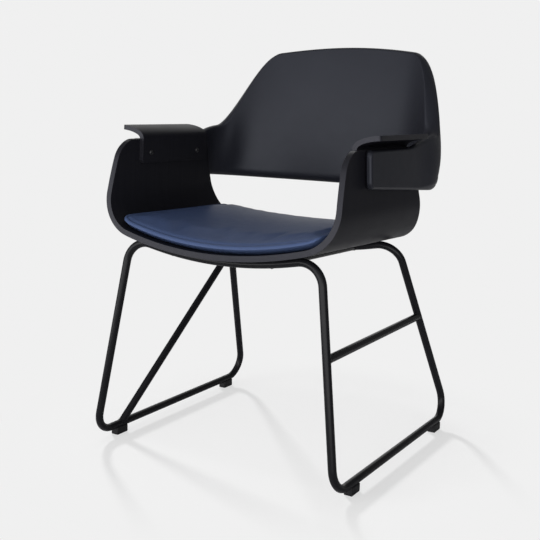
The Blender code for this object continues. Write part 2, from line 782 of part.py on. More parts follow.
def build_glides(halves, notches):
    bm = bmesh.new()
    height = GLIDE_HEIGHT + GLIDE_SADDLE
    bmesh.ops.create_cube(bm, size=1.0)
    bmesh.ops.scale(bm, vec=(GLIDE_WIDTH, GLIDE_LENGTH, height), verts=bm.verts)
    bmesh.ops.translate(bm, vec=(0, 0, height / 2), verts=bm.verts)
    block = mesh_from_bmesh("glide_block", bm)
    peg_top = GLIDE_HEIGHT + PEG_DEPTH
    for word, side in SIDES.items():
        for place, y in (("front", -GLIDE_Y), ("rear", GLIDE_Y)):
            name = f"{word}_{place}_glide"
            spot = Matrix.Translation((side * RUNNER_X, y, 0))
            glide = add_object(name, block.copy(), GLIDE_PLASTIC, spot)
            bevel = glide.modifiers.new("round", "BEVEL")
            bevel.width = GLIDE_ROUND
            bevel.segments = 2
            cut(glide, notches[word])
            peg = cylinder_cutter(name + "_peg", PEG_R, GLIDE_HEIGHT / 2, peg_top, spot)
            cut(glide, peg, "UNION")
            hole = cylinder_cutter(name + "_hole", PEG_R + CLEAR, 0.0, peg_top + CLEAR, spot)
            cut(halves[word], hole)


# Screws and inserts

def screw_mesh(name, length):
    """Socket screw along +Z: underside of the head at 0, tip at its length."""
    edge = SCREW_HEAD_H * 0.4
    profile = [(0, length), (SCREW_R * 0.8, length), (SCREW_R, length - SCREW_R * 0.4), (SCREW_R, 0),
               (SCREW_HEAD_R, 0), (SCREW_HEAD_R, edge - SCREW_HEAD_H), (SCREW_HEAD_R * 0.8, -SCREW_HEAD_H),
               (0, -SCREW_HEAD_H)]
    blank = add_object(name + "_blank", turned(name, profile, False), collection=CUTTERS)
    socket = cylinder_cutter(name + "_socket", SCREW_SOCKET_R, -SCREW_HEAD_H - CLEAR,
                             SCREW_SOCKET_DEPTH - SCREW_HEAD_H, Matrix.Identity(4), 6)
    cut(blank, socket)
    mesh = evaluated_mesh(blank)
    bpy.data.objects.remove(blank)
    bpy.data.objects.remove(socket)
    mesh.set_sharp_from_angle(angle=math.radians(35))
    return mesh


def insert_mesh(name, length):
    """Threaded insert along +Z from 0 to its length, open at both ends."""
    bore = SCREW_R + CLEAR
    return turned(name, [(INSERT_R, length), (INSERT_R, 0), (bore, 0), (bore, length)], True)


def fix_armrests(shell, plates, core, front_pad):
    """Screws run from inside the arm through plate, shell and pad into inserts in the backrest core."""
    stack = PLATE_T + SHELL_T + TAB_PAD_T + 3 * CLEAR
    length = CLEAR + stack + CORE_T - 4 * CLEAR
    screw = screw_mesh("armrest_screw", length)
    insert = insert_mesh("backrest_insert", CORE_T - 2 * CLEAR)
    screw_z = ARM_TOP_Z - ARM_SCREW_DROP
    for word, side in SIDES.items():
        out, up = arm_axes(side)
        for place, y in ARM_SCREW_Y.items():
            outer = Vector((side * arm_outer_x(screw_z), y, screw_z))
            head_seat = outer - out * (SHELL_T + PLATE_T + 2 * CLEAR)
            axis = axes_matrix(head_seat, out, up)
            name = f"{word}_{place}_armrest_screw"
            add_object(name, screw, SCREW_STEEL, axis)
            core_face = outer + out * (CLEAR + TAB_PAD_T + CLEAR)
            add_object(f"{word}_{place}_backrest_insert", insert, BRASS, axes_matrix(core_face, out, up))
            hole = cylinder_cutter(name + "_hole", SCREW_R + CLEAR, -SCREW_HEAD_H, stack + CORE_T / 3, axis)
            for piece in (plates[word], shell, front_pad):
                cut(piece, hole)
            socket = cylinder_cutter(name + "_insert_hole", INSERT_R + CLEAR, stack - CORE_T,
                                     stack + 2 * CORE_T, axis)
            cut(core, socket)


def build_rails(shell, notches):
    """Rails under the shell, and the screws that hold the shell to them."""
    run = SEAT_CURVE_R * math.asin(RAIL_X / SEAT_CURVE_R)
    grip = INSERT_LENGTH * 0.8
    seat_depth = 2 * TUBE_R - COUNTERBORE_DEPTH
    screw = screw_mesh("shell_screw", seat_depth + CLEAR + grip)
    insert = insert_mesh("shell_insert", INSERT_LENGTH)
    for word, side in SIDES.items():
        s = side * run
        line = [cross_point(s, FRONT_CROSS_Y + RAIL_SHORT), cross_point(s, REAR_CROSS_Y - RAIL_SHORT)]
        name = word + "_mounting_rail"
        rail = add_object(name, tube_mesh(name, line, TUBE_R), POWDER_COAT)
        cut(rail, notches[word])
        fall = Vector((0, math.sin(math.atan(SEAT_FALL)), 0))
        inward = (shell_normal(s) + fall).normalized()
        for place, y in SHELL_SCREW_Y.items():
            face = shell_point(s, y)
            axis = axes_matrix(face, inward, (0, 1, 0))
            seat = axes_matrix(face - inward * (seat_depth + 2 * CLEAR), inward, (0, 1, 0))
            label = f"{word}_{place}_shell"
            add_object(label + "_screw", screw, SCREW_STEEL, seat)
            add_object(label + "_insert", insert, BRASS, axis)
            through = cylinder_cutter(label + "_hole", SCREW_R + CLEAR, -3 * TUBE_R, CLEAR, axis)
            cut(rail, through)
            bore = cylinder_cutter(label + "_counterbore", SCREW_HEAD_R + 2 * CLEAR, -3 * TUBE_R,
                                   -seat_depth - CLEAR, axis)
            cut(rail, bore)
            pocket = cylinder_cutter(label + "_pocket", INSERT_R + CLEAR, -TUBE_R,
                                     INSERT_LENGTH + CLEAR, axis)
            cut(shell, pocket)


def centre_origin():
    """Moves the chair so that the origin lies under the middle of its overall box."""
    bpy.context.view_layer.update()
    graph = bpy.context.evaluated_depsgraph_get()
    lows = []
    highs = []
    for obj in PARTS.objects:
        if obj.type != "MESH":
            continue
        corners = [obj.matrix_world @ Vector(c) for c in obj.evaluated_get(graph).bound_box]
        lows.append(min(c.y for c in corners))
        highs.append(max(c.y for c in corners))
    ROOT.location.y = -(min(lows) + max(highs)) / 2


def build():
    shell = build_shell()
    plates = {word: build_armrest(word + "_armrest", side) for word, side in SIDES.items()}
    core, front_pad, _ = build_backrest()
    build_board()
    build_seat_pad()
    halves, notches = build_frame()
    build_braces(notches)
    build_glides(halves, notches)
    fix_armrests(shell, plates, core, front_pad)
    build_rails(shell, notches)
    centre_origin()


build()
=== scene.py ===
"""Looks of the dining armchair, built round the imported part.

Metres, +Z up, floor at z = 0. The chair faces -Y. Right and left are the sitter's, so right is -X.
"""
import json
import math

import bmesh
import bpy
from mathutils import Matrix, Vector


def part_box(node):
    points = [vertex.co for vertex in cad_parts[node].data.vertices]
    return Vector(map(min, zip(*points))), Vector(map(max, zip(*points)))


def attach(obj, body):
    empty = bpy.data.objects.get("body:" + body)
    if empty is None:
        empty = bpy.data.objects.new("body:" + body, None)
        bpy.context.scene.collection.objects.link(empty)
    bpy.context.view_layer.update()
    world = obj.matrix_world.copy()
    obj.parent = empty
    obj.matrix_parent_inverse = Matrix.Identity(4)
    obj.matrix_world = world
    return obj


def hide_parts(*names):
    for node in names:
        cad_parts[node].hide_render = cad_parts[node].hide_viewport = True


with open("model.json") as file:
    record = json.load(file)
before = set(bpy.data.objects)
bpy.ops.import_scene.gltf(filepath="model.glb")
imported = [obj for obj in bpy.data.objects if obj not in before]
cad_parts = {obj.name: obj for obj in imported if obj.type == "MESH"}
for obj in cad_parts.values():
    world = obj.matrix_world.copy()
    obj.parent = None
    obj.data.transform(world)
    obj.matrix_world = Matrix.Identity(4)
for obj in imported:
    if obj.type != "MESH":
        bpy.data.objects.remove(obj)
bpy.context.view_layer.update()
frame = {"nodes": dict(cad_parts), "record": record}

# Camera fitted to the square photograph, in the chair's own coordinates.
CAMERA_PLACE = Vector((0.98102, -1.68199, 0.71167))
CAMERA_TURN = math.radians(31.095)
CAMERA_PITCH = math.radians(10.236)
CAMERA_ROLL = math.radians(1.432)
CAMERA_LENS = 61.84
SENSOR_WIDTH = 36.0

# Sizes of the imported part.
CLEAR = 0.0003
TUBE_R = 0.008
RUNNER_X = 0.280
RUNNER_END_Y = 0.280
RUNNER_Z = 0.021
FRONT_LEG_IN = 0.150
FRONT_LEG_BACK = 0.097
REAR_LEG_IN = 0.1675
REAR_LEG_FORWARD = 0.428
FLOOR_BEND_R = 0.042
TOP_BEND_R = 0.047
CROSS_ARC_HALF = 0.155
BRACE_RUNNER_Y = -0.200
BRACE_TOP_RISE = 0.347
BAR_RISE = 0.240
RAIL_X = 0.112
GLIDE_Y = 0.205
SHELL_T = 0.0115
SHELL_BOTTOM_Z = 0.420
SHELL_HALF_WIDTH = 0.2645
SEAT_CURVE_R = 0.820
ARM_BEND_R = 0.081
ARM_LEAN = math.radians(3.0)
ARM_TOP_Z = 0.632
ARM_CORNER_R = 0.036
SHELL_FRONT_Y = -0.283
SHELL_REAR_Y = 0.210
ARM_SETBACK = 0.055
ARM_REAR_Y = 0.068
SEAT_FALL = math.tan(math.radians(1.3))
FALL_FADE_START = 0.4
PLATE_T = 0.0095
PLATE_FRONT_Y = -0.176
PLATE_REAR_Y = 0.050
PLATE_DROP = 0.049
CURL_REACH = 0.047
CURL_RISE = 0.015
PLATE_CORNER_R = 0.007
ARM_SCREW_DROP = 0.0275
ARM_SCREW_Y = {"front": -0.150, "rear": 0.012}
SCREW_HEAD_R = 0.0055
SCREW_HEAD_H = 0.0032
SCREW_SOCKET_R = 0.0023
CORE_T = 0.009
TAB_PAD_T = 0.004
TAB_FRONT_Y = -0.175
TAB_CORNER_R = 0.012
TAB_EDGE_R = 0.005
BACK_REF_DROP = 0.044
BACK_Y = 0.236
BACK_CORNER_Y = 0.080
BACK_SQUARENESS = 2.7
BACK_LEAN = math.radians(5.5)
BACK_SHOULDER_RISE = 0.1925
BACK_ARCH = 0.0145
ARCH_END = 0.180
SHOULDER_START = 0.166
SHOULDER_END = 0.312
WING_RISE = 0.0255
WING_FALL_START = 0.300
WING_FALL_END = 0.440
BACK_LEAN_START = 0.160
BACK_LEAN_END = 0.325
BACK_TILT = math.radians(4.5)
TILT_FADE_START = 0.200
TILT_FADE_END = 0.380
BACK_BOTTOM_DROP = 0.0815
BACK_BOTTOM_FALL = 0.070
BACK_PAD_FRONT_T = 0.015
BACK_PAD_REAR_T = 0.019
BACK_FRONT_CROWN = 0.006
BACK_REAR_CROWN = 0.004
BACK_FRONT_LOW_RIM = 0.022
BACK_FRONT_TOP_RIM = 0.007
BACK_REAR_LOW_RIM = 0.032
BACK_REAR_TOP_RIM = 0.018
TAB_RIM = 0.006
PAD_SWELL_LENGTH = 0.060
PAD_SIDE = 0.250
PAD_FRONT_INSET = 0.009
PAD_REAR_INSET = 0.010
PAD_CORNER_R = 0.025

# Sizes that only the looks need.
EDGE_ROUND = 0.0024
PLATE_EDGE_ROUND = 0.0022
EDGE_SEGMENTS = 5
PLY_THICKNESS = 0.0013
SEAM_DEPTH = 0.0009
TAB_BEVEL_RUN = 0.012
TAB_BEVEL_DEPTH = 0.0075
PAD_NOSE = 0.0098
PAD_UNDERCUT = 0.015
PAD_SIDE_UNDERCUT = 0.006
PAD_WALL = 0.0040
PAD_WALL_ROUND = 0.0042
PAD_PUFF = 0.0115
PAD_PUFF_REACH = 0.020
PAD_CROWN = 0.012
PAD_REAR_LIFT = 0.0045
PAD_SEAM_INSET = 0.0080
PAD_SEAM_WIDTH = 0.0030
PAD_SEAM_DEPTH = 0.0013
WELD_R = 0.0010
WELD_RIPPLE = 0.15
WELD_RIPPLES = 15
SOCKET_CHAMFER = 1.2
SOCKET_LIP = 0.0002
SOCKET_FLOOR = 0.0012
TANGENT_STEP = 0.010

# Distances from the cushion's edges at which its cover has points.
PAD_INSETS = (0.0, 0.0005, 0.0012, 0.0022, 0.0034, 0.0046, 0.0056, 0.0062, 0.0068, 0.0074, 0.008, 0.009,
              0.0105, 0.013, 0.017, 0.022)

# Swelling of the cushion's cover: its hold at the edges, how far it may move, and the cloth.
SWELL_HOLD = 0.010
SWELL_HOLD_FADE = 0.025
SWELL_CAP = 0.004
SWELL_FRAMES = 20
SWELL_QUALITY = 6
SWELL_PRESSURE = 4
SWELL_GROWTH = 0.01
SWELL_MASS = 0.4
SWELL_STIFFNESS = 20
SWELL_BENDING = 2

# Shares of a quarter turn: the points round the back's rims, and the seam that runs along them.
RIM_TURNS = (0.0, 0.08, 0.17, 0.26, 0.36, 0.45, 0.52, 0.56, 0.58, 0.6, 0.64, 0.71, 0.8, 0.9, 1.0)
SEAM_TURN = 0.58
SEAM_WIDTH = 0.03

# Button heads: shares of the radius at distances from the underside.
BUTTON_PROFILE = ((1.0, 0.0), (1.0, 0.0007), (0.95, 0.0015), (0.82, 0.0023), (0.64, 0.0029))

# Steps that curves and sheets are divided into, and the angles in degrees from which an edge stays sharp.
SEAT_STEPS = 22
BEND_STEPS = 26
ARM_STEPS = 6
ARM_CORNER_STEPS = 10
SHELL_ROWS = 16
PLATE_CORNER_STEPS = 8
PLATE_WALL_STEPS = 4
CURL_STEPS = 24
PLATE_ROWS = 12
BACK_LINE_STEPS = 400
BACK_STEPS = 56
TAB_STEPS = 14
TAB_END_STEPS = 9
CROWN_STEPS = 20
PAD_COLUMNS = 44
PAD_ROWS = 40
SETTLE_STEPS = 20
CROSS_STEPS = 16
TUBE_BEND_STEPS = 16
TUBE_RESOLUTION = 8
WELD_STEPS = 64
WELD_RESOLUTION = 2
SCREW_FACETS = 48
STAGE_BEND_STEPS = 16
SHARP_ANGLE = 50.0
SCREW_SHARP_ANGLE = 35.0

# Materials. Depths and shifts are in metres. A count says about how often a pattern repeats in a metre.
NOISE_RANGE = (0.3, 0.7)
COOL_TINT = (0.86, 0.87, 1.0)
LEATHER_GRAIN_COUNT = 720.0
LEATHER_GRAIN_EDGE = 0.35
LEATHER_GRAIN_DEPTH = 0.00015
LEATHER_WARP_COUNT = 420.0
LEATHER_WARP_SHIFT = 0.0011
LEATHER_WAVE_COUNT = 26.0
LEATHER_WAVE_DEPTH = 0.0015
VENEER_COUNTS = (9.0, 420.0, 1.0)
VENEER_PORE_DEPTH = 0.0003
VENEER_PEEL_COUNT = 240.0
VENEER_PEEL_DEPTH = 0.0004
PLY_FIBRE_COUNT = 300.0
PLY_LAYER_SHARE = 0.3
PLY_TONE_RANGE = (0.15, 0.85)
PLY_LAYER_DEPTH = 0.0002
COAT_GRAIN_DEPTH = 0.0002
RAW_PLY_STRETCH = (40.0, 6.0, 40.0)
RAW_PLY_GRAIN_DEPTH = 0.0003

# Studio. The stage turns from a least share of plain background to all of it over a range of distances from
# the chair's middle. The sky's ranges are those of a direction's part towards the bright way, and upwards.
BACKGROUND = (0.871, 0.871, 0.871, 1.0)
STAGE_TONE = 0.93
STAGE_BOUNCE_TONE = 0.4
STAGE_VARIATION = 0.004
STAGE_WIDTH = 3.6
STAGE_FRONT = -1.6
STAGE_REAR = 2.4
STAGE_BEND_R = 0.9
STAGE_TOP = 3.6
PLAIN_RANGE = (0.36, 0.62)
PLAIN_LEAST = 0.66
MIRRORED_RANGE = (1.6, 3.2)
MIRRORED_LEAST = 0.0
SKY_BRIGHT_WAY = (0.0, -1.0, 0.0)
SKY_RANGE = (0.2, 0.8)
SKY_FADE_RANGE = (0.16, 0.5)
SKY_HIGH_SHARE = 0.25
SKY_LEVELS = (0.19, 3.5)
SUN_FROM = Vector((-0.75, 0.66, 0.42))
SUN_STRENGTH = 3.6
SUN_SPREAD = math.radians(6.0)
GLINT_PLACE = Vector((-0.4, -0.7, 3.2))
GLINT_AIM = Vector((0, 0, 0.4))
GLINT_SIZE = 0.35
GLINT_POWER = 6

SIDES = {"right": -1, "left": 1}

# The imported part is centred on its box, which shifts it along Y.
DEPTH = sum(corner.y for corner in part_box("right_front_glide")) / 2 + GLIDE_Y


def smoothstep(t):
    t = min(max(t, 0.0), 1.0)
    return t * t * (3 - 2 * t)


def mix(a, b, t):
    return a + (b - a) * t


def quarter_round(distance, radius):
    """How far a quarter circle has dropped at this distance from its end."""
    if distance >= radius:
        return 0.0
    return radius * (1 - math.sqrt(1 - (1 - distance / radius) ** 2))


def quarter_turns(steps):
    """Angles from 0 to 90 degrees."""
    return [math.pi / 2 * k / steps for k in range(steps + 1)]


# Materials

def new_material(name):
    mat = bpy.data.materials.new(name)
    mat.use_nodes = True
    return mat, mat.node_tree, mat.node_tree.nodes["Principled BSDF"]


def set_inputs(node, **inputs):
    for key, value in inputs.items():
        node.inputs[key.replace("_", " ")].default_value = value


def add_node(tree, kind, **inputs):
    node = tree.nodes.new("ShaderNode" + kind)
    set_inputs(node, **inputs)
    return node


def coordinates(tree, output, scale):
    source = tree.nodes.new("ShaderNodeTexCoord")
    mapping = add_node(tree, "Mapping", Scale=scale)
    tree.links.new(source.outputs[output], mapping.inputs["Vector"])
    return mapping.outputs["Vector"]


def add_noise(tree, vector, **inputs):
    noise = add_node(tree, "TexNoise", **inputs)
    tree.links.new(vector, noise.inputs["Vector"])
    return noise


def add_math(tree, operation, *values):
    """Math node, whose values are numbers or sockets."""
    node = tree.nodes.new("ShaderNodeMath")
    node.operation = operation
    for place, value in zip(node.inputs, values):
        if isinstance(value, float):
            place.default_value = value
        else:
            tree.links.new(value, place)
    return node.outputs["Value"]


def map_range(tree, value, source, target, smooth=False):
    """A value carried over from one range to another."""
    node = add_node(tree, "MapRange", From_Min=source[0], From_Max=source[1])
    set_inputs(node, To_Min=target[0], To_Max=target[1])
    if smooth:
        node.interpolation_type = "SMOOTHSTEP"
    tree.links.new(value, node.inputs["Value"])
    return node.outputs["Result"]


def mix_shaders(tree, share, first, second):
    choose = tree.nodes.new("ShaderNodeMixShader")
    tree.links.new(share, choose.inputs["Fac"])
    tree.links.new(first, choose.inputs[1])
    tree.links.new(second, choose.inputs[2])
    return choose.outputs["Shader"]


def two_tones(tree, shader, value, source, dark, light):
    """Base colour that turns from dark to light as a value rises through a range."""
    ramp = tree.nodes.new("ShaderNodeValToRGB")
    for element, position, tone in zip(ramp.color_ramp.elements, source, (dark, light)):
        element.position = position
        element.color = (*tone, 1)
    tree.links.new(value, ramp.inputs["Fac"])
    tree.links.new(ramp.outputs["Color"], shader.inputs["Base Color"])


def vary_colour(tree, shader, vector, dark, light, scale, detail=3.0):
    """Colour that wanders between two tones."""
    spots = add_noise(tree, vector, Scale=scale, Detail=detail)
    two_tones(tree, shader, spots.outputs["Fac"], NOISE_RANGE, dark, light)


def vary_roughness(tree, shader, vector, rough, scale):
    spots = add_noise(tree, vector, Scale=scale, Detail=3.0)
    span = map_range(tree, spots.outputs["Fac"], NOISE_RANGE, rough)
    tree.links.new(span, shader.inputs["Roughness"])


def add_bumps(tree, shader, layers):
    """Chains bumps from (height socket, strength, depth) layers into the shader's normal."""
    normal = None
    for height, strength, depth in layers:
        bump = add_node(tree, "Bump", Strength=strength, Distance=depth)
        tree.links.new(height, bump.inputs["Height"])
        if normal is not None:
            tree.links.new(normal, bump.inputs["Normal"])
        normal = bump.outputs["Normal"]
    tree.links.new(normal, shader.inputs["Normal"])


def leather(name, dark, light, rough, specular, sheen_tone):
    """Fine pebbled leather: warped cells for the grain, a slow waviness under it."""
    mat, tree, shader = new_material(name)
    vector = coordinates(tree, "Object", (1, 1, 1))
    warp = add_noise(tree, vector, Scale=LEATHER_WARP_COUNT, Detail=2.0)
    shift = add_node(tree, "VectorMath")
    shift.operation = "MULTIPLY_ADD"
    shift.inputs[1].default_value = (LEATHER_WARP_SHIFT,) * 3
    tree.links.new(warp.outputs["Color"], shift.inputs[0])
    tree.links.new(vector, shift.inputs[2])
    cells = add_node(tree, "TexVoronoi", Scale=LEATHER_GRAIN_COUNT)
    cells.feature = "DISTANCE_TO_EDGE"
    tree.links.new(shift.outputs["Vector"], cells.inputs["Vector"])
    pebble = map_range(tree, cells.outputs["Distance"], (0.0, LEATHER_GRAIN_EDGE), (0.0, 1.0))
    wave = add_noise(tree, vector, Scale=LEATHER_WAVE_COUNT, Detail=2.0)
    layers = [(wave.outputs["Fac"], 0.05, LEATHER_WAVE_DEPTH), (pebble, 0.25, LEATHER_GRAIN_DEPTH)]
    add_bumps(tree, shader, layers)
    vary_colour(tree, shader, vector, dark, light, scale=9.0)
    vary_roughness(tree, shader, vector, rough, scale=60.0)
    set_inputs(shader, Specular_IOR_Level=specular, Specular_Tint=(*sheen_tone, 1))
    return mat


def lacquered_veneer(name, dark, light, rough, specular):
    """Black lacquer over veneer, whose pores still show along the grain."""
    mat, tree, shader = new_material(name)
    vector = coordinates(tree, "UV", VENEER_COUNTS)
    pores = add_noise(tree, vector, Scale=1.0, Detail=6.0, Roughness=0.65)
    object_space = coordinates(tree, "Object", (1, 1, 1))
    peel = add_noise(tree, object_space, Scale=VENEER_PEEL_COUNT, Detail=1.0)
    layers = [(pores.outputs["Fac"], 0.05, VENEER_PORE_DEPTH), (peel.outputs["Fac"], 0.03, VENEER_PEEL_DEPTH)]
    add_bumps(tree, shader, layers)
    vary_colour(tree, shader, vector, dark, light, scale=0.4)
    vary_roughness(tree, shader, object_space, rough, scale=14.0)
    set_inputs(shader, Specular_IOR_Level=specular, Specular_Tint=(*COOL_TINT, 1))
    return mat


def ply_edge(name, dark, light, rough, specular):
    """Stained plywood edge: thin layers, alternately long and end grain."""
    mat, tree, shader = new_material(name)
    vector = coordinates(tree, "UV", (1.0, 1.0, 1.0))
    parts = tree.nodes.new("ShaderNodeSeparateXYZ")
    tree.links.new(vector, parts.inputs["Vector"])
    turn = add_math(tree, "MULTIPLY", parts.outputs["Y"], math.pi / PLY_THICKNESS)
    layers = add_math(tree, "SINE", turn)
    fibres = add_noise(tree, vector, Scale=PLY_FIBRE_COUNT, Detail=4.0)
    tone = add_math(tree, "MULTIPLY_ADD", layers, PLY_LAYER_SHARE, fibres.outputs["Fac"])
    two_tones(tree, shader, tone, PLY_TONE_RANGE, dark, light)
    add_bumps(tree, shader, [(tone, 0.10, PLY_LAYER_DEPTH)])
    vary_roughness(tree, shader, vector, rough, scale=120.0)
    set_inputs(shader, Specular_IOR_Level=specular, Specular_Tint=(*COOL_TINT, 1))
    return mat


def coated(name, dark, light, rough, specular, grain_count, grain_strength, metallic=0.0):
    """Paint, plastic or plain metal with a fine surface texture."""
    mat, tree, shader = new_material(name)
    vector = coordinates(tree, "Object", (1, 1, 1))
    grain = add_noise(tree, vector, Scale=grain_count, Detail=2.0)
    add_bumps(tree, shader, [(grain.outputs["Fac"], grain_strength, COAT_GRAIN_DEPTH)])
    vary_colour(tree, shader, vector, dark, light, scale=30.0)
    vary_roughness(tree, shader, vector, rough, scale=45.0)
    set_inputs(shader, Specular_IOR_Level=specular, Metallic=metallic)
    return mat


def raw_plywood(name):
    """Plain plywood with a long grain."""
    mat, tree, shader = new_material(name)
    vector = coordinates(tree, "Object", RAW_PLY_STRETCH)
    grain = add_noise(tree, vector, Scale=4.0, Detail=6.0, Distortion=0.4)
    add_bumps(tree, shader, [(grain.outputs["Fac"], 0.2, RAW_PLY_GRAIN_DEPTH)])
    vary_colour(tree, shader, vector, (0.36, 0.24, 0.13), (0.60, 0.45, 0.29), scale=3.0, detail=5.0)
    set_inputs(shader, Roughness=0.7)
    return mat


LACQUER = lacquered_veneer("black_lacquered_veneer", dark=(0.0070, 0.0070, 0.0092),
                           light=(0.0092, 0.0092, 0.0118), rough=(0.36, 0.40), specular=0.06)
PLY_EDGE = ply_edge("stained_ply_edge", dark=(0.007, 0.007, 0.009), light=(0.011, 0.011, 0.0135),
                    rough=(0.28, 0.34), specular=0.22)
BACK_LEATHER = leather("black_leather", dark=(0.0085, 0.0090, 0.0125), light=(0.0105, 0.0110, 0.0150),
                       rough=(0.38, 0.42), specular=0.23, sheen_tone=(0.84, 0.88, 1.0))
SEAT_LEATHER = leather("navy_leather", dark=(0.041, 0.062, 0.130), light=(0.047, 0.070, 0.144),
                       rough=(0.41, 0.45), specular=0.10, sheen_tone=(0.92, 0.95, 1.0))
POWDER_COAT = coated("black_powder_coat", dark=(0.0045, 0.0045, 0.0056), light=(0.0060, 0.0060, 0.0072),
                     rough=(0.22, 0.27), specular=0.14, grain_count=900.0, grain_strength=0.18)
GLIDE_PLASTIC = coated("black_glide_plastic", dark=(0.005, 0.005, 0.006), light=(0.007, 0.007, 0.008),
                       rough=(0.5, 0.62), specular=0.25, grain_count=500.0, grain_strength=0.12)
SCREW_STEEL = coated("blackened_screw_steel", dark=(0.012, 0.012, 0.013), light=(0.022, 0.022, 0.024),
                     rough=(0.34, 0.46), specular=0.4, grain_count=700.0, grain_strength=0.08, metallic=0.4)
BRASS = coated("machined_brass", dark=(0.62, 0.44, 0.18), light=(0.74, 0.56, 0.28), rough=(0.28, 0.4),
               specular=0.5, grain_count=300.0, grain_strength=0.06, metallic=1.0)
RAW_PLY = raw_plywood("raw_plywood")


# Making objects

def add_object(name, data):
    obj = bpy.data.objects.new(name, data)
    bpy.context.scene.collection.objects.link(obj)
    return obj


def add_piece(name, mesh, materials, nodes=()):
    """New piece that rides on the chair and stands for the named nodes."""
    obj = add_object(name, mesh)
    obj.location.y = DEPTH
    for mat in materials:
        mesh.materials.append(mat)
    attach(obj, "root")
    if nodes:
        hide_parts(*nodes)
    return obj


def to_mesh(name, bm, smooth_angle=None):
    mesh = bpy.data.meshes.new(name)
    bmesh.ops.recalc_face_normals(bm, faces=bm.faces)
    bm.to_mesh(mesh)
    bm.free()
    mesh.shade_smooth()
    if smooth_angle is not None:
        mesh.set_sharp_from_angle(angle=math.radians(smooth_angle))
    return mesh


def add_face(bm, uv, verts, coords, material):
    face = bm.faces.new(verts)
    face.material_index = material
    for loop, coord in zip(face.loops, coords):
        loop[uv].uv = coord


def rim_pairs(grid):
    """Neighbouring places round the rim of a grid of columns."""
    last_i = len(grid) - 1
    last_j = len(grid[0]) - 1
    rim = [(i, 0) for i in range(last_i)] + [(last_i, j) for j in range(last_j)]
    rim += [(i, last_j) for i in range(last_i, 0, -1)] + [(0, j) for j in range(last_j, 0, -1)]
    return zip(rim, rim[1:] + rim[:1])


def solid_sheet(name, grid, normals, thickness):
    """Closed sheet over a grid of points: faces take material 0, the edge all round material 1.

    UV holds the run across and along the sheet on its faces, and the run and thickness on its edge.
    """
    bm = bmesh.new()
    uv = bm.loops.layers.uv.new("grain")
    low = [[bm.verts.new(p) for p in column] for column in grid]
    high = [[bm.verts.new(p + n * thickness) for p in column] for column, n in zip(grid, normals)]
    middle = len(grid[0]) // 2
    runs = [0.0]
    for a, b in zip(grid, grid[1:]):
        runs.append(runs[-1] + (b[middle] - a[middle]).length)
    for i in range(len(grid) - 1):
        for j in range(len(grid[0]) - 1):
            corners = [(i, j), (i + 1, j), (i + 1, j + 1), (i, j + 1)]
            coords = [(runs[a], grid[a][b].y) for a, b in corners]
            add_face(bm, uv, [low[a][b] for a, b in corners], coords, 0)
            add_face(bm, uv, [high[a][b] for a, b in reversed(corners)], coords[::-1], 0)
    run = 0.0
    for (a, b), (c, d) in rim_pairs(grid):
        step = (grid[c][d] - grid[a][b]).length
        coords = [(run, 0), (run + step, 0), (run + step, thickness), (run, thickness)]
        add_face(bm, uv, [low[a][b], low[c][d], high[c][d], high[a][b]], coords, 1)
        run += step
    return to_mesh(name, bm)


def round_edges(obj, width):
    bevel = obj.modifiers.new("rounded", "BEVEL")
    bevel.width = width
    bevel.segments = EDGE_SEGMENTS
    bevel.limit_method = "ANGLE"
    bevel.angle_limit = math.radians(SHARP_ANGLE)
    bevel.material = 1
    bevel.harden_normals = True


def tube_mesh(name, points, radius, cyclic=False, radii=None, resolution=TUBE_RESOLUTION):
    """Mesh of a round tube along a polyline."""
    curve = bpy.data.curves.new(name, "CURVE")
    curve.dimensions = "3D"
    curve.bevel_depth = radius
    curve.bevel_resolution = resolution
    curve.use_fill_caps = True
    spline = curve.splines.new("POLY")
    spline.points.add(len(points) - 1)
    spline.use_cyclic_u = cyclic
    for k, point in enumerate(points):
        spline.points[k].co = (*point, 1.0)
        if radii is not None:
            spline.points[k].radius = radii[k]
    pattern = add_object(name, curve)
    bpy.context.view_layer.update()
    graph = bpy.context.evaluated_depsgraph_get()
    mesh = bpy.data.meshes.new_from_object(pattern.evaluated_get(graph))
    bpy.data.objects.remove(pattern)
    mesh.materials.clear()
    mesh.shade_smooth()
    mesh.set_sharp_from_angle(angle=math.radians(SHARP_ANGLE))
    return mesh


# Seat shell

SEAT_TURN = math.asin((SHELL_HALF_WIDTH - ARM_BEND_R) / (SEAT_CURVE_R - ARM_BEND_R))
SEAT_ARC = SEAT_CURVE_R * SEAT_TURN
BEND_ANGLE = math.pi / 2 + ARM_LEAN - SEAT_TURN
BEND_END = SEAT_ARC + ARM_BEND_R * BEND_ANGLE
BEND_CENTRE_X = (SEAT_CURVE_R - ARM_BEND_R) * math.sin(SEAT_TURN)
BEND_CENTRE_Z = SHELL_BOTTOM_Z + SEAT_CURVE_R - (SEAT_CURVE_R - ARM_BEND_R) * math.cos(SEAT_TURN)


def shell_section(s):
    """Point and turning angle of the outer face, s along the section from the middle of the seat."""
    run = abs(s)
    if run <= SEAT_ARC:
        angle = run / SEAT_CURVE_R
        x = SEAT_CURVE_R * math.sin(angle)
        z = SHELL_BOTTOM_Z + SEAT_CURVE_R * (1 - math.cos(angle))
    else:
        angle = SEAT_TURN + min(run - SEAT_ARC, BEND_END - SEAT_ARC) / ARM_BEND_R
        rise = max(run - BEND_END, 0.0)
        x = BEND_CENTRE_X + ARM_BEND_R * math.sin(angle) + rise * math.cos(angle)
        z = BEND_CENTRE_Z - ARM_BEND_R * math.cos(angle) + rise * math.sin(angle)
    return math.copysign(x, s), z, math.copysign(angle, s)


def fall_at(s, y):
    """How far the seat has dropped at this depth; the drop fades out in the bend."""
    fade = mix(SEAT_ARC, BEND_END, FALL_FADE_START)
    return SEAT_FALL * (y - SHELL_FRONT_Y) * (1 - smoothstep((abs(s) - fade) / (BEND_END - fade)))


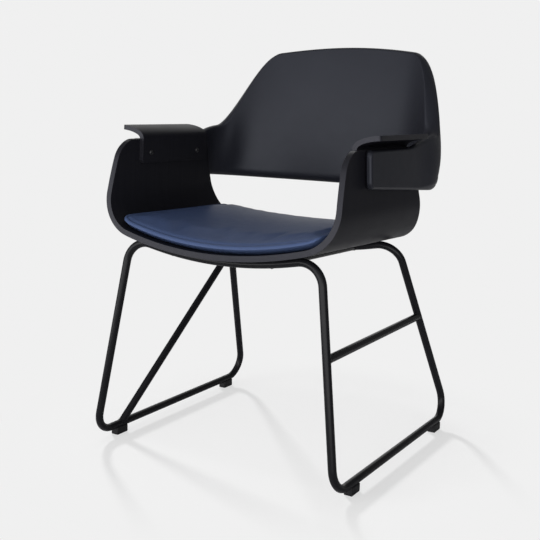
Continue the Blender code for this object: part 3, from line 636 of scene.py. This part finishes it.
def shell_normal(s):
    angle = shell_section(s)[2]
    return Vector((-math.sin(angle), 0, math.cos(angle)))


def shell_point(s, y, inside=0.0):
    x, z, _ = shell_section(s)
    return Vector((x, y, z - fall_at(s, y))) + shell_normal(s) * inside


ARM_TOP_RUN = BEND_END + (ARM_TOP_Z - shell_section(BEND_END)[1]) / math.cos(ARM_LEAN)


def front_edge(s):
    t = abs(s) / ARM_TOP_RUN
    return SHELL_FRONT_Y + ARM_SETBACK * (t ** 2 + t ** 4) / 2


def rear_edge(s):
    return mix(SHELL_REAR_Y, ARM_REAR_Y, smoothstep(abs(s) / ARM_TOP_RUN))


def arm_outer_x(z):
    end_x, end_z, _ = shell_section(BEND_END)
    return end_x - (z - end_z) * math.tan(ARM_LEAN)


def arm_axes(side):
    """Outward normal and upward direction of an arm's outer face."""
    out = Vector((side * math.cos(ARM_LEAN), 0, math.sin(ARM_LEAN)))
    up = Vector((-side * math.sin(ARM_LEAN), 0, math.cos(ARM_LEAN)))
    return out, up


def build_shell():
    straight = ARM_TOP_RUN - ARM_CORNER_R
    half = [(SEAT_ARC * k / SEAT_STEPS, 0.0) for k in range(SEAT_STEPS)]
    half += [(mix(SEAT_ARC, BEND_END, k / BEND_STEPS), 0.0) for k in range(BEND_STEPS + 1)]
    half += [(mix(BEND_END, straight, k / ARM_STEPS), 0.0) for k in range(1, ARM_STEPS + 1)]
    for turn in quarter_turns(ARM_CORNER_STEPS)[1:]:
        half.append((straight + ARM_CORNER_R * math.sin(turn), ARM_CORNER_R * (1 - math.cos(turn))))
    grid = []
    normals = []
    for s, inset in [(-run, inset) for run, inset in reversed(half[1:])] + half:
        front = front_edge(s) + inset
        rear = rear_edge(s) - inset
        grid.append([shell_point(s, mix(front, rear, k / SHELL_ROWS)) for k in range(SHELL_ROWS + 1)])
        normals.append(shell_normal(s))
    mesh = solid_sheet("plywood_shell", grid, normals, SHELL_T)
    shell = add_piece("plywood_shell", mesh, (LACQUER, PLY_EDGE), ["seat_shell"])
    round_edges(shell, EDGE_ROUND)


def build_armrest(word, side):
    """Plate on the inside of an arm; over the arm it follows a quarter of an ellipse."""
    out, up = arm_axes(side)
    low_z = ARM_TOP_Z - PLATE_DROP
    lower = Vector((side * (arm_outer_x(low_z) - (SHELL_T + CLEAR) / math.cos(ARM_LEAN)), 0, low_z))
    climb = PLATE_DROP / math.cos(ARM_LEAN)
    path = []
    for turn in quarter_turns(PLATE_CORNER_STEPS):
        point = lower + up * PLATE_CORNER_R * (1 - math.cos(turn))
        path.append((point, -out, PLATE_CORNER_R * (1 - math.sin(turn))))
    for k in range(1, PLATE_WALL_STEPS):
        path.append((lower + up * mix(PLATE_CORNER_R, climb, k / PLATE_WALL_STEPS), -out, 0.0))
    slopes = quarter_turns(CURL_STEPS)[:-2]
    curl = [(math.atan(CURL_RISE / CURL_REACH * math.tan(slope)), 0.0) for slope in slopes]
    for turn in quarter_turns(PLATE_CORNER_STEPS):
        from_edge = PLATE_CORNER_R * (1 - math.sin(turn))
        curl.append((math.acos(from_edge / CURL_REACH), PLATE_CORNER_R * (1 - math.cos(turn))))
    for angle, inset in curl:
        over = out * CURL_REACH * (1 - math.cos(angle)) + up * CURL_RISE * math.sin(angle)
        normal = up * CURL_REACH * math.sin(angle) - out * CURL_RISE * math.cos(angle)
        path.append((lower + up * climb + over, normal.normalized(), inset))
    grid = []
    for point, _, inset in path:
        front = PLATE_FRONT_Y + inset
        rear = PLATE_REAR_Y - inset
        depths = [mix(front, rear, k / PLATE_ROWS) for k in range(PLATE_ROWS + 1)]
        grid.append([Vector((point.x, y, point.z)) for y in depths])
    name = word + "_arm_plate"
    mesh = solid_sheet(name, grid, [normal for _, normal, _ in path], PLATE_T)
    plate = add_piece(name, mesh, (LACQUER, PLY_EDGE), [word + "_armrest"])
    round_edges(plate, PLATE_EDGE_ROUND)


# Backrest

BACK_REF_Z = ARM_TOP_Z - BACK_REF_DROP
BACK_SIDE_X = arm_outer_x(BACK_REF_Z) + (CLEAR + TAB_PAD_T + CORE_T / 2) / math.cos(ARM_LEAN)


def back_plan():
    """Half of the back's middle line in plan, from the back's middle to the tab's end."""
    line = []
    for turn in quarter_turns(BACK_LINE_STEPS):
        x = BACK_SIDE_X * math.sin(turn) ** (2 / BACK_SQUARENESS)
        y = BACK_CORNER_Y + (BACK_Y - BACK_CORNER_Y) * math.cos(turn) ** (2 / BACK_SQUARENESS)
        line.append(Vector((x, y, 0)))
    line.append(Vector((BACK_SIDE_X, TAB_FRONT_Y, 0)))
    return line


def walk(line, distance):
    """Point and direction at a distance along a polyline."""
    left = distance
    for a, b in zip(line, line[1:]):
        step = (b - a).length
        if left <= step or b is line[-1]:
            way = (b - a).normalized()
            return a + way * left, way
        left -= step


BACK_LINE = back_plan()
BACK_HALF_RUN = sum((b - a).length for a, b in zip(BACK_LINE, BACK_LINE[1:]))


def back_station(run):
    """Place, directions and thicknesses of the back's cross-section at a signed distance from its middle."""
    side = math.copysign(1, run)
    along = abs(run)
    point, way = walk(BACK_LINE, along)
    inward = Vector((side * way.y, -way.x, 0))
    turned_in = smoothstep((along - BACK_LEAN_START) / (BACK_LEAN_END - BACK_LEAN_START))
    lean = mix(-BACK_LEAN, ARM_LEAN, turned_in)
    tilt = BACK_TILT * (1 - smoothstep((along - TILT_FADE_START) / (TILT_FADE_END - TILT_FADE_START)))
    rise = Vector((0, math.tan(tilt), 1)) + inward * math.tan(lean)
    wing = smoothstep((WING_FALL_END - along) / (WING_FALL_END - WING_FALL_START))
    shoulder = smoothstep((SHOULDER_END - along) / (SHOULDER_END - SHOULDER_START))
    top = ARM_TOP_Z + mix(WING_RISE * wing, BACK_SHOULDER_RISE, shoulder)
    top += BACK_ARCH * max(0.0, 1 - (along / ARCH_END) ** 2)
    bottom = ARM_TOP_Z - BACK_BOTTOM_DROP - BACK_BOTTOM_FALL * point.y
    from_end = BACK_HALF_RUN - along
    clear_of_arm = ARM_REAR_Y + ARM_CORNER_R
    front_swell = smoothstep((point.y - clear_of_arm) / PAD_SWELL_LENGTH)
    rear_swell = smoothstep((point.y + PAD_SWELL_LENGTH - clear_of_arm) / (2 * PAD_SWELL_LENGTH))
    tab = CORE_T / 2 + TAB_PAD_T
    bevel = TAB_BEVEL_DEPTH * max(0.0, 1 - from_end / TAB_BEVEL_RUN)
    station = {"origin": Vector((side * point.x, point.y, BACK_REF_Z)), "up": rise}
    station["inward"] = Vector((way.x, side * way.y, 0)).cross(rise).normalized()
    station["middle"] = (top + bottom) / 2 - BACK_REF_Z
    station["half"] = (top - bottom) / 2 - quarter_round(from_end, TAB_CORNER_R)
    station["front"] = (mix(tab, BACK_PAD_FRONT_T, front_swell) - bevel, BACK_FRONT_CROWN * front_swell,
                        mix(TAB_RIM, BACK_FRONT_LOW_RIM, front_swell),
                        mix(TAB_RIM, BACK_FRONT_TOP_RIM, front_swell), 0.0)
    station["rear"] = (mix(tab, BACK_PAD_REAR_T, rear_swell) - quarter_round(from_end, TAB_EDGE_R),
                       BACK_REAR_CROWN * rear_swell, mix(TAB_RIM, BACK_REAR_LOW_RIM, rear_swell),
                       mix(TAB_RIM, BACK_REAR_TOP_RIM, rear_swell), SEAM_DEPTH * rear_swell)
    return station


def cover_outline(station, face):
    """One face of a cross-section from bottom to top; a seam may run round its rims."""
    thick, crown, low_rim, top_rim, seam = station[face]
    low = low_rim - station["half"]
    high = station["half"] - top_rim
    rising = []
    falling = []
    for share in RIM_TURNS:
        turn = math.pi / 2 * share
        groove = 1 - seam * math.exp(-((share - SEAM_TURN) / SEAM_WIDTH) ** 2) / thick
        across = math.cos(turn) * groove
        n = thick * math.sin(turn) * groove
        rising.append((low - low_rim * across, n))
        falling.append((high + top_rim * across, n))
    crowned = []
    for k in range(1, CROWN_STEPS):
        t = k / CROWN_STEPS
        crowned.append((mix(low, high, t), thick + 4 * crown * t * (1 - t)))
    return rising + crowned + falling[::-1]


def back_ring(station):
    front = cover_outline(station, "front")
    rear = [(v, -n) for v, n in reversed(cover_outline(station, "rear"))][1:-1]
    points = []
    for v, n in front + rear:
        points.append(station["origin"] + station["up"] * (station["middle"] + v) + station["inward"] * n)
    return points


def build_backrest():
    straight = BACK_HALF_RUN - (BACK_CORNER_Y - TAB_FRONT_Y)
    ends = [TAB_CORNER_R * (1 - math.cos(turn)) for turn in quarter_turns(TAB_END_STEPS)]
    half = [straight * k / BACK_STEPS for k in range(1, BACK_STEPS)]
    half += [mix(straight, BACK_HALF_RUN - TAB_CORNER_R, k / TAB_STEPS) for k in range(TAB_STEPS)]
    half += [BACK_HALF_RUN - d for d in reversed(ends)]
    bm = bmesh.new()
    rings = []
    for run in [-run for run in reversed(half)] + [0.0] + half:
        rings.append([bm.verts.new(p) for p in back_ring(back_station(run))])
    count = len(rings[0])
    for near, far in zip(rings, rings[1:]):
        for k in range(count):
            bm.faces.new((near[k], near[(k + 1) % count], far[(k + 1) % count], far[k]))
    bm.faces.new(rings[0])
    bm.faces.new(rings[-1])
    mesh = to_mesh("upholstered_back", bm, SHARP_ANGLE)
    back = add_piece("upholstered_back", mesh, (BACK_LEATHER,),
                     ["backrest_front_pad", "backrest_rear_pad"])
    even = back.modifiers.new("even_shading", "WEIGHTED_NORMAL")
    even.keep_sharp = True


# Seat cushion

def pad_edges(s):
    corner = quarter_round(PAD_SIDE - abs(s), PAD_CORNER_R)
    return front_edge(s) + PAD_FRONT_INSET + corner, rear_edge(s) - PAD_REAR_INSET - corner


def pad_height(distances, crown, back):
    """Height of the cushion's cover over the shell; back is the share of the way to its rear."""
    wall = 1.0
    puff = 1.0
    for d in distances:
        wall *= 1 - quarter_round(d, PAD_WALL_ROUND) / PAD_WALL_ROUND
        puff *= 1 - math.exp(-d / PAD_PUFF_REACH)
    seam = math.exp(-((min(distances) - PAD_SEAM_INSET) / PAD_SEAM_WIDTH) ** 2)
    raised = PAD_NOSE + PAD_CROWN * crown + PAD_REAR_LIFT * back ** 2
    return raised + PAD_WALL * wall + PAD_PUFF * puff - PAD_SEAM_DEPTH * seam


def spread(low, high, insets, steps):
    """Positions from low to high: close together at both ends, even between them."""
    deep = insets[-1]
    ends = list(insets[:-1])
    middle = [mix(low + deep, high - deep, k / steps) for k in range(steps + 1)]
    return [low + d for d in ends] + middle + [high - d for d in reversed(ends)]


def build_cushion():
    bm = bmesh.new()
    loose = {}
    top = []
    bottom = []
    for s in spread(-PAD_SIDE, PAD_SIDE, PAD_INSETS, PAD_COLUMNS):
        front, rear = pad_edges(s)
        side = PAD_SIDE - abs(s)
        column = []
        under = []
        for y in spread(front, rear, PAD_INSETS, PAD_ROWS):
            distances = (side, y - front, rear - y)
            back = (y - front) / (rear - front)
            crown = (1 - (s / PAD_SIDE) ** 2) * 4 * back * (1 - back)
            vert = bm.verts.new(shell_point(s, y, SHELL_T + CLEAR + pad_height(distances, crown, back)))
            loose[vert] = smoothstep((min(distances) - SWELL_HOLD) / SWELL_HOLD_FADE)
            column.append(vert)
            tuck_s = s * (PAD_SIDE - PAD_SIDE_UNDERCUT) / PAD_SIDE
            tuck_y = mix(front + PAD_UNDERCUT, rear - PAD_SIDE_UNDERCUT, back)
            low = bm.verts.new(shell_point(tuck_s, tuck_y, SHELL_T + CLEAR))
            loose[low] = 0.0
            under.append(low)
        top.append(column)
        bottom.append(under)
    for i in range(len(top) - 1):
        for j in range(len(top[0]) - 1):
            bm.faces.new((top[i][j], top[i + 1][j], top[i + 1][j + 1], top[i][j + 1]))
            bm.faces.new((bottom[i][j + 1], bottom[i + 1][j + 1], bottom[i + 1][j], bottom[i][j]))
    for (a, b), (c, d) in rim_pairs(top):
        bm.faces.new((bottom[a][b], bottom[c][d], top[c][d], top[a][b]))
    bm.verts.index_update()
    holds = [(vert.index, 1.0 - free) for vert, free in loose.items()]
    mesh = to_mesh("leather_cushion", bm, SHARP_ANGLE)
    cushion = add_piece("leather_cushion", mesh, (SEAT_LEATHER,), ["seat_pad"])
    inflate(cushion, holds)


def inflate(obj, holds):
    """Lets the cover swell under a little pressure, held at its seam and underside, and keeps the result."""
    group = obj.vertex_groups.new(name="held")
    for index, weight in holds:
        group.add([index], weight, "REPLACE")
    cloth = obj.modifiers.new("swell", "CLOTH")
    settings = cloth.settings
    settings.quality = SWELL_QUALITY
    settings.mass = SWELL_MASS
    settings.tension_stiffness = SWELL_STIFFNESS
    settings.compression_stiffness = SWELL_STIFFNESS
    settings.bending_stiffness = SWELL_BENDING
    settings.use_pressure = True
    settings.uniform_pressure_force = SWELL_PRESSURE
    settings.shrink_min = -SWELL_GROWTH
    settings.vertex_group_mass = group.name
    settings.effector_weights.gravity = 0
    scene = bpy.context.scene
    for number in range(1, SWELL_FRAMES + 1):
        scene.frame_set(number)
    graph = bpy.context.evaluated_depsgraph_get()
    swollen = [v.co.copy() for v in obj.evaluated_get(graph).data.vertices]
    obj.modifiers.remove(cloth)
    obj.vertex_groups.remove(group)
    for vert, target in zip(obj.data.vertices, swollen):
        move = target - vert.co
        if move.length > SWELL_CAP:
            move = move.normalized() * SWELL_CAP
        vert.co += move
    obj.data.update()
    scene.frame_set(1)


# Sled base

def front_leg(side, rise):
    x = RUNNER_X - FRONT_LEG_IN * rise
    return Vector((side * x, FRONT_LEG_BACK * rise - RUNNER_END_Y, RUNNER_Z + rise))


def rear_leg(side, rise):
    x = RUNNER_X - REAR_LEG_IN * rise
    return Vector((side * x, RUNNER_END_Y - REAR_LEG_FORWARD * rise, RUNNER_Z + rise))


def cross_point(s, y):
    """Centre line of a cross tube under the shell."""
    return shell_point(s, y, -(TUBE_R + CLEAR))


def cross_tube(leg):
    """Depth of a cross tube, and the corner where its straight end meets the leg, found by repeated steps."""
    y = leg(1, SHELL_BOTTOM_Z).y
    slope = math.tan(shell_section(CROSS_ARC_HALF)[2])
    foot = leg(1, 0.0)
    lean_in = (foot - leg(1, 1.0)).x
    for _ in range(SETTLE_STEPS):
        end = cross_point(CROSS_ARC_HALF, y)
        rise = (end.z + slope * (foot.x - end.x) - foot.z) / (1 + slope * lean_in)
        corner = leg(1, rise)
        y = corner.y
    return y, corner


FRONT_CROSS_Y, FRONT_CORNER = cross_tube(front_leg)
REAR_CROSS_Y, REAR_CORNER = cross_tube(rear_leg)


def rounded_corner(before, corner, after, radius):
    """Arc of points that rounds a corner between two straight runs."""
    to_before = (before - corner).normalized()
    to_after = (after - corner).normalized()
    half = to_before.angle(to_after) / 2
    centre = corner + (to_before + to_after).normalized() * (radius / math.sin(half))
    start = corner + to_before * (radius / math.tan(half)) - centre
    end = corner + to_after * (radius / math.tan(half)) - centre
    sweep = start.angle(end)
    points = []
    for k in range(TUBE_BEND_STEPS + 1):
        near = math.sin((1 - k / TUBE_BEND_STEPS) * sweep)
        far = math.sin(k / TUBE_BEND_STEPS * sweep)
        points.append(centre + (start * near + end * far) / math.sin(sweep))
    return points


def build_base():
    arc = [CROSS_ARC_HALF * k / CROSS_STEPS for k in range(CROSS_STEPS + 1)]
    front = [cross_point(s, FRONT_CROSS_Y) for s in arc]
    rear = [cross_point(s, REAR_CROSS_Y) for s in reversed(arc)]
    floor_front = front_leg(1, 0.0)
    floor_rear = rear_leg(1, 0.0)
    path = list(front)
    path += rounded_corner(front[-1], FRONT_CORNER, floor_front, TOP_BEND_R)
    path += rounded_corner(FRONT_CORNER, floor_front, floor_rear, FLOOR_BEND_R)
    path += rounded_corner(floor_front, floor_rear, REAR_CORNER, FLOOR_BEND_R)
    path += rounded_corner(floor_rear, REAR_CORNER, rear[0], TOP_BEND_R)
    path += rear
    path += [Vector((-p.x, p.y, p.z)) for p in reversed(path[1:-1])]
    loop = tube_mesh("sled_base", path, TUBE_R, cyclic=True)
    add_piece("sled_base", loop, (POWDER_COAT,), ["right_frame_tube", "left_frame_tube"])


def build_weld(name, junction, way, line):
    """Bead where a tube that starts at a junction and runs along way meets the round tube along line."""
    a = way.orthogonal().normalized()
    b = way.cross(a)
    flat_way = way - line * way.dot(line)
    points = []
    radii = []
    for k in range(WELD_STEPS):
        turn = 2 * math.pi * k / WELD_STEPS
        spoke = (a * math.cos(turn) + b * math.sin(turn)) * TUBE_R
        flat = spoke - line * spoke.dot(line)
        half_b = flat.dot(flat_way) / flat_way.length_squared
        rest = (flat.length_squared - TUBE_R ** 2) / flat_way.length_squared
        reach = -half_b + math.sqrt(max(half_b ** 2 - rest, 0.0))
        points.append(junction + spoke + way * reach)
        radii.append(1 + WELD_RIPPLE * math.sin(turn * WELD_RIPPLES))
    bead = tube_mesh(name, points, WELD_R, cyclic=True, radii=radii, resolution=WELD_RESOLUTION)
    add_piece(name, bead, (POWDER_COAT,))


def build_strut(name, node, ends):
    """Straight tube welded to the base; each end is a point and the direction of the base there."""
    (start, start_line), (end, end_line) = ends
    way = (end - start).normalized()
    mesh = tube_mesh(name, [start, end], TUBE_R)
    add_piece(name, mesh, (POWDER_COAT,), [node])
    build_weld(name + "_weld_a", start, way, start_line.normalized())
    build_weld(name + "_weld_b", end, -way, end_line.normalized())


def build_struts():
    along = Vector((0, 1, 0))
    rear_right = rear_leg(-1, 1.0) - rear_leg(-1, 0.0)
    rear_left = rear_leg(1, 1.0) - rear_leg(1, 0.0)
    front_left = front_leg(1, 1.0) - front_leg(1, 0.0)
    brace_foot = Vector((-RUNNER_X, BRACE_RUNNER_Y, RUNNER_Z))
    build_strut("slanting_brace", "diagonal_brace",
                [(brace_foot, along), (rear_leg(-1, BRACE_TOP_RISE), rear_right)])
    build_strut("level_bar", "side_bar",
                [(front_leg(1, BAR_RISE), front_left), (rear_leg(1, BAR_RISE), rear_left)])
    run = SEAT_CURVE_R * math.asin(RAIL_X / SEAT_CURVE_R)
    for word, side in SIDES.items():
        s = side * run
        for place, y in (("front", FRONT_CROSS_Y), ("rear", REAR_CROSS_Y)):
            line = cross_point(s + TANGENT_STEP, y) - cross_point(s - TANGENT_STEP, y)
            way = cross_point(s, -y) - cross_point(s, y)
            build_weld(f"{word}_{place}_rail_weld", cross_point(s, y), way.normalized(), line.normalized())


# Screws

def screw_head(name):
    """Button head with a six-sided socket, its underside at z = 0 and its top along -Z."""
    profile = [(SCREW_HEAD_R * share, -rise) for share, rise in BUTTON_PROFILE]
    profile.append((SCREW_SOCKET_R * SOCKET_CHAMFER, -SCREW_HEAD_H))
    socket = [(SCREW_SOCKET_R, -SCREW_HEAD_H + SOCKET_LIP), (SCREW_SOCKET_R, -SOCKET_FLOOR)]
    turns = [2 * math.pi * k / SCREW_FACETS for k in range(SCREW_FACETS)]
    bm = bmesh.new()
    rings = []
    for radius, z in profile:
        rings.append([bm.verts.new((radius * math.cos(t), radius * math.sin(t), z)) for t in turns])
    for radius, z in socket:
        ring = []
        for turn in turns:
            across = (turn % (math.pi / 3)) - math.pi / 6
            reach = radius * math.cos(math.pi / 6) / math.cos(across)
            ring.append(bm.verts.new((reach * math.cos(turn), reach * math.sin(turn), z)))
        rings.append(ring)
    for near, far in zip(rings, rings[1:]):
        for k in range(SCREW_FACETS):
            n = (k + 1) % SCREW_FACETS
            bm.faces.new((near[k], near[n], far[n], far[k]))
    bm.faces.new(rings[0])
    bm.faces.new(rings[-1])
    return to_mesh(name, bm, SCREW_SHARP_ANGLE)


def build_screws():
    screw_z = ARM_TOP_Z - ARM_SCREW_DROP
    for word, side in SIDES.items():
        out, up = arm_axes(side)
        for place, y in ARM_SCREW_Y.items():
            outer = Vector((side * arm_outer_x(screw_z), y, screw_z))
            seat = outer - out * (SHELL_T + PLATE_T + 2 * CLEAR)
            turn = Matrix((up.cross(out), up, out)).transposed().to_4x4()
            name = f"{word}_{place}_button_screw"
            mesh = screw_head(name)
            mesh.transform(Matrix.Translation(seat) @ turn)
            add_piece(name, mesh, (SCREW_STEEL,), [f"{word}_{place}_armrest_screw"])


def dress_nodes():
    """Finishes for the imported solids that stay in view."""
    finishes = {"black_powder_coat": POWDER_COAT, "black_plastic": GLIDE_PLASTIC,
                "black_screw_steel": SCREW_STEEL, "brass": BRASS, "plain_plywood": RAW_PLY,
                "black_lacquered_plywood": LACQUER, "black_leather": BACK_LEATHER,
                "navy_leather": SEAT_LEATHER}
    for entry in frame["record"]["subparts"]:
        node = frame["nodes"][entry["node"]]
        for place in node.material_slots:
            place.material = finishes[entry["material_slot"]]


# Studio

def add_camera():
    ahead = Vector((-math.sin(CAMERA_TURN) * math.cos(CAMERA_PITCH),
                    math.cos(CAMERA_TURN) * math.cos(CAMERA_PITCH), -math.sin(CAMERA_PITCH)))
    level = Vector((math.cos(CAMERA_TURN), math.sin(CAMERA_TURN), 0))
    above = level.cross(ahead)
    right = level * math.cos(CAMERA_ROLL) + above * math.sin(CAMERA_ROLL)
    up = above * math.cos(CAMERA_ROLL) - level * math.sin(CAMERA_ROLL)
    data = bpy.data.cameras.new("camera")
    data.lens = CAMERA_LENS
    data.sensor_width = SENSOR_WIDTH
    camera = add_object("camera", data)
    turn = Matrix((right, up, -ahead)).transposed().to_4x4()
    camera.matrix_world = Matrix.Translation(CAMERA_PLACE + Vector((0, DEPTH, 0))) @ turn
    bpy.context.scene.camera = camera


def add_stage():
    """Pale floor that bends up into a backdrop behind the chair.

    The camera and reflections see it turn into plain background away from the chair. The light that it throws
    back on to the chair is that of a darker floor.
    """
    profile = [(STAGE_FRONT, 0.0)]
    for turn in quarter_turns(STAGE_BEND_STEPS):
        profile.append((STAGE_REAR + STAGE_BEND_R * math.sin(turn), STAGE_BEND_R * (1 - math.cos(turn))))
    profile.append((STAGE_REAR + STAGE_BEND_R, STAGE_TOP))
    bm = bmesh.new()
    rows = []
    for y, z in profile:
        rows.append([bm.verts.new((x, y, z)) for x in (-STAGE_WIDTH / 2, STAGE_WIDTH / 2)])
    for near, far in zip(rows, rows[1:]):
        bm.faces.new((near[0], near[1], far[1], far[0]))
    mat, tree, seen = new_material("pale_stage")
    bounced = add_node(tree, "BsdfPrincipled")
    vector = coordinates(tree, "Object", (1, 1, 1))
    for shader, tone in ((seen, STAGE_TONE), (bounced, STAGE_BOUNCE_TONE)):
        vary_colour(tree, shader, vector, (tone,) * 3, (tone + STAGE_VARIATION,) * 3, scale=2.0)
        set_inputs(shader, Roughness=0.9, Specular_IOR_Level=0.0)
    distance = add_node(tree, "VectorMath")
    distance.operation = "LENGTH"
    tree.links.new(vector, distance.inputs[0])
    plain = add_node(tree, "Emission", Color=BACKGROUND, Strength=1.0)
    path = tree.nodes.new("ShaderNodeLightPath")
    mirrored = add_math(tree, "MAXIMUM", path.outputs["Is Glossy Ray"], path.outputs["Is Transmission Ray"])
    surface = bounced.outputs["BSDF"]
    views = ((mirrored, bounced, MIRRORED_RANGE, MIRRORED_LEAST),
             (path.outputs["Is Camera Ray"], seen, PLAIN_RANGE, PLAIN_LEAST))
    for ray, shader, reach, least in views:
        share = map_range(tree, distance.outputs["Value"], reach, (least, 1.0), smooth=True)
        part_plain = mix_shaders(tree, share, shader.outputs["BSDF"], plain.outputs["Emission"])
        surface = mix_shaders(tree, ray, surface, part_plain)
    tree.links.new(surface, tree.nodes["Material Output"].inputs["Surface"])
    mesh = to_mesh("stage", bm)
    mesh.materials.append(mat)
    stage = add_object("stage", mesh)
    stage.rotation_euler.z = CAMERA_TURN
    stage.visible_shadow = False
    return stage


def add_light(name, kind, way, power):
    """New light that shines one way."""
    data = bpy.data.lights.new(name, kind)
    data.energy = power
    light = add_object(name, data)
    light.rotation_euler = way.to_track_quat("-Z", "Y").to_euler()
    return light


def add_glint():
    """Small soft light from above that draws the glints."""
    light = add_light("glint", "AREA", GLINT_AIM - GLINT_PLACE, GLINT_POWER)
    light.location = GLINT_PLACE
    light.data.shape = "DISK"
    light.data.size = GLINT_SIZE


def add_sun(stage):
    """Low light from behind that draws the chair's shadow on the stage, and lights only the stage."""
    light = add_light("key", "SUN", -SUN_FROM, SUN_STRENGTH)
    light.data.angle = SUN_SPREAD
    lit = bpy.data.collections.new("key_lit")
    lit.objects.link(stage)
    light.light_linking.receiver_collection = lit


def add_world():
    """Soft light all round the chair, strongest from the front and not far above the floor.

    The camera sees plain background in its place.
    """
    world = bpy.data.worlds.new("studio")
    bpy.context.scene.world = world
    world.use_nodes = True
    tree = world.node_tree
    source = tree.nodes.new("ShaderNodeTexCoord")
    facing = add_node(tree, "VectorMath")
    facing.operation = "DOT_PRODUCT"
    facing.inputs[1].default_value = SKY_BRIGHT_WAY
    tree.links.new(source.outputs["Generated"], facing.inputs[0])
    around = map_range(tree, facing.outputs["Value"], SKY_RANGE, (0.0, 1.0), smooth=True)
    parts = tree.nodes.new("ShaderNodeSeparateXYZ")
    tree.links.new(source.outputs["Generated"], parts.inputs["Vector"])
    above = map_range(tree, parts.outputs["Z"], SKY_FADE_RANGE, (1.0, SKY_HIGH_SHARE), smooth=True)
    both = add_math(tree, "MULTIPLY", around, above)
    level = map_range(tree, both, (0.0, 1.0), SKY_LEVELS)
    sky = tree.nodes["Background"]
    set_inputs(sky, Color=(1, 1, 1, 1))
    tree.links.new(level, sky.inputs["Strength"])
    plain = add_node(tree, "Background", Color=BACKGROUND, Strength=1.0)
    path = tree.nodes.new("ShaderNodeLightPath")
    skies = (sky.outputs["Background"], plain.outputs["Background"])
    seen = mix_shaders(tree, path.outputs["Is Camera Ray"], *skies)
    tree.links.new(seen, tree.nodes["World Output"].inputs["Surface"])


def build_studio():
    bpy.context.scene.view_settings.view_transform = "Standard"
    add_camera()
    stage = add_stage()
    add_world()
    add_sun(stage)
    add_glint()


build_studio()
dress_nodes()
build_shell()
for side_word, side_sign in SIDES.items():
    build_armrest(side_word, side_sign)
build_backrest()
build_cushion()
build_base()
build_struts()
build_screws()
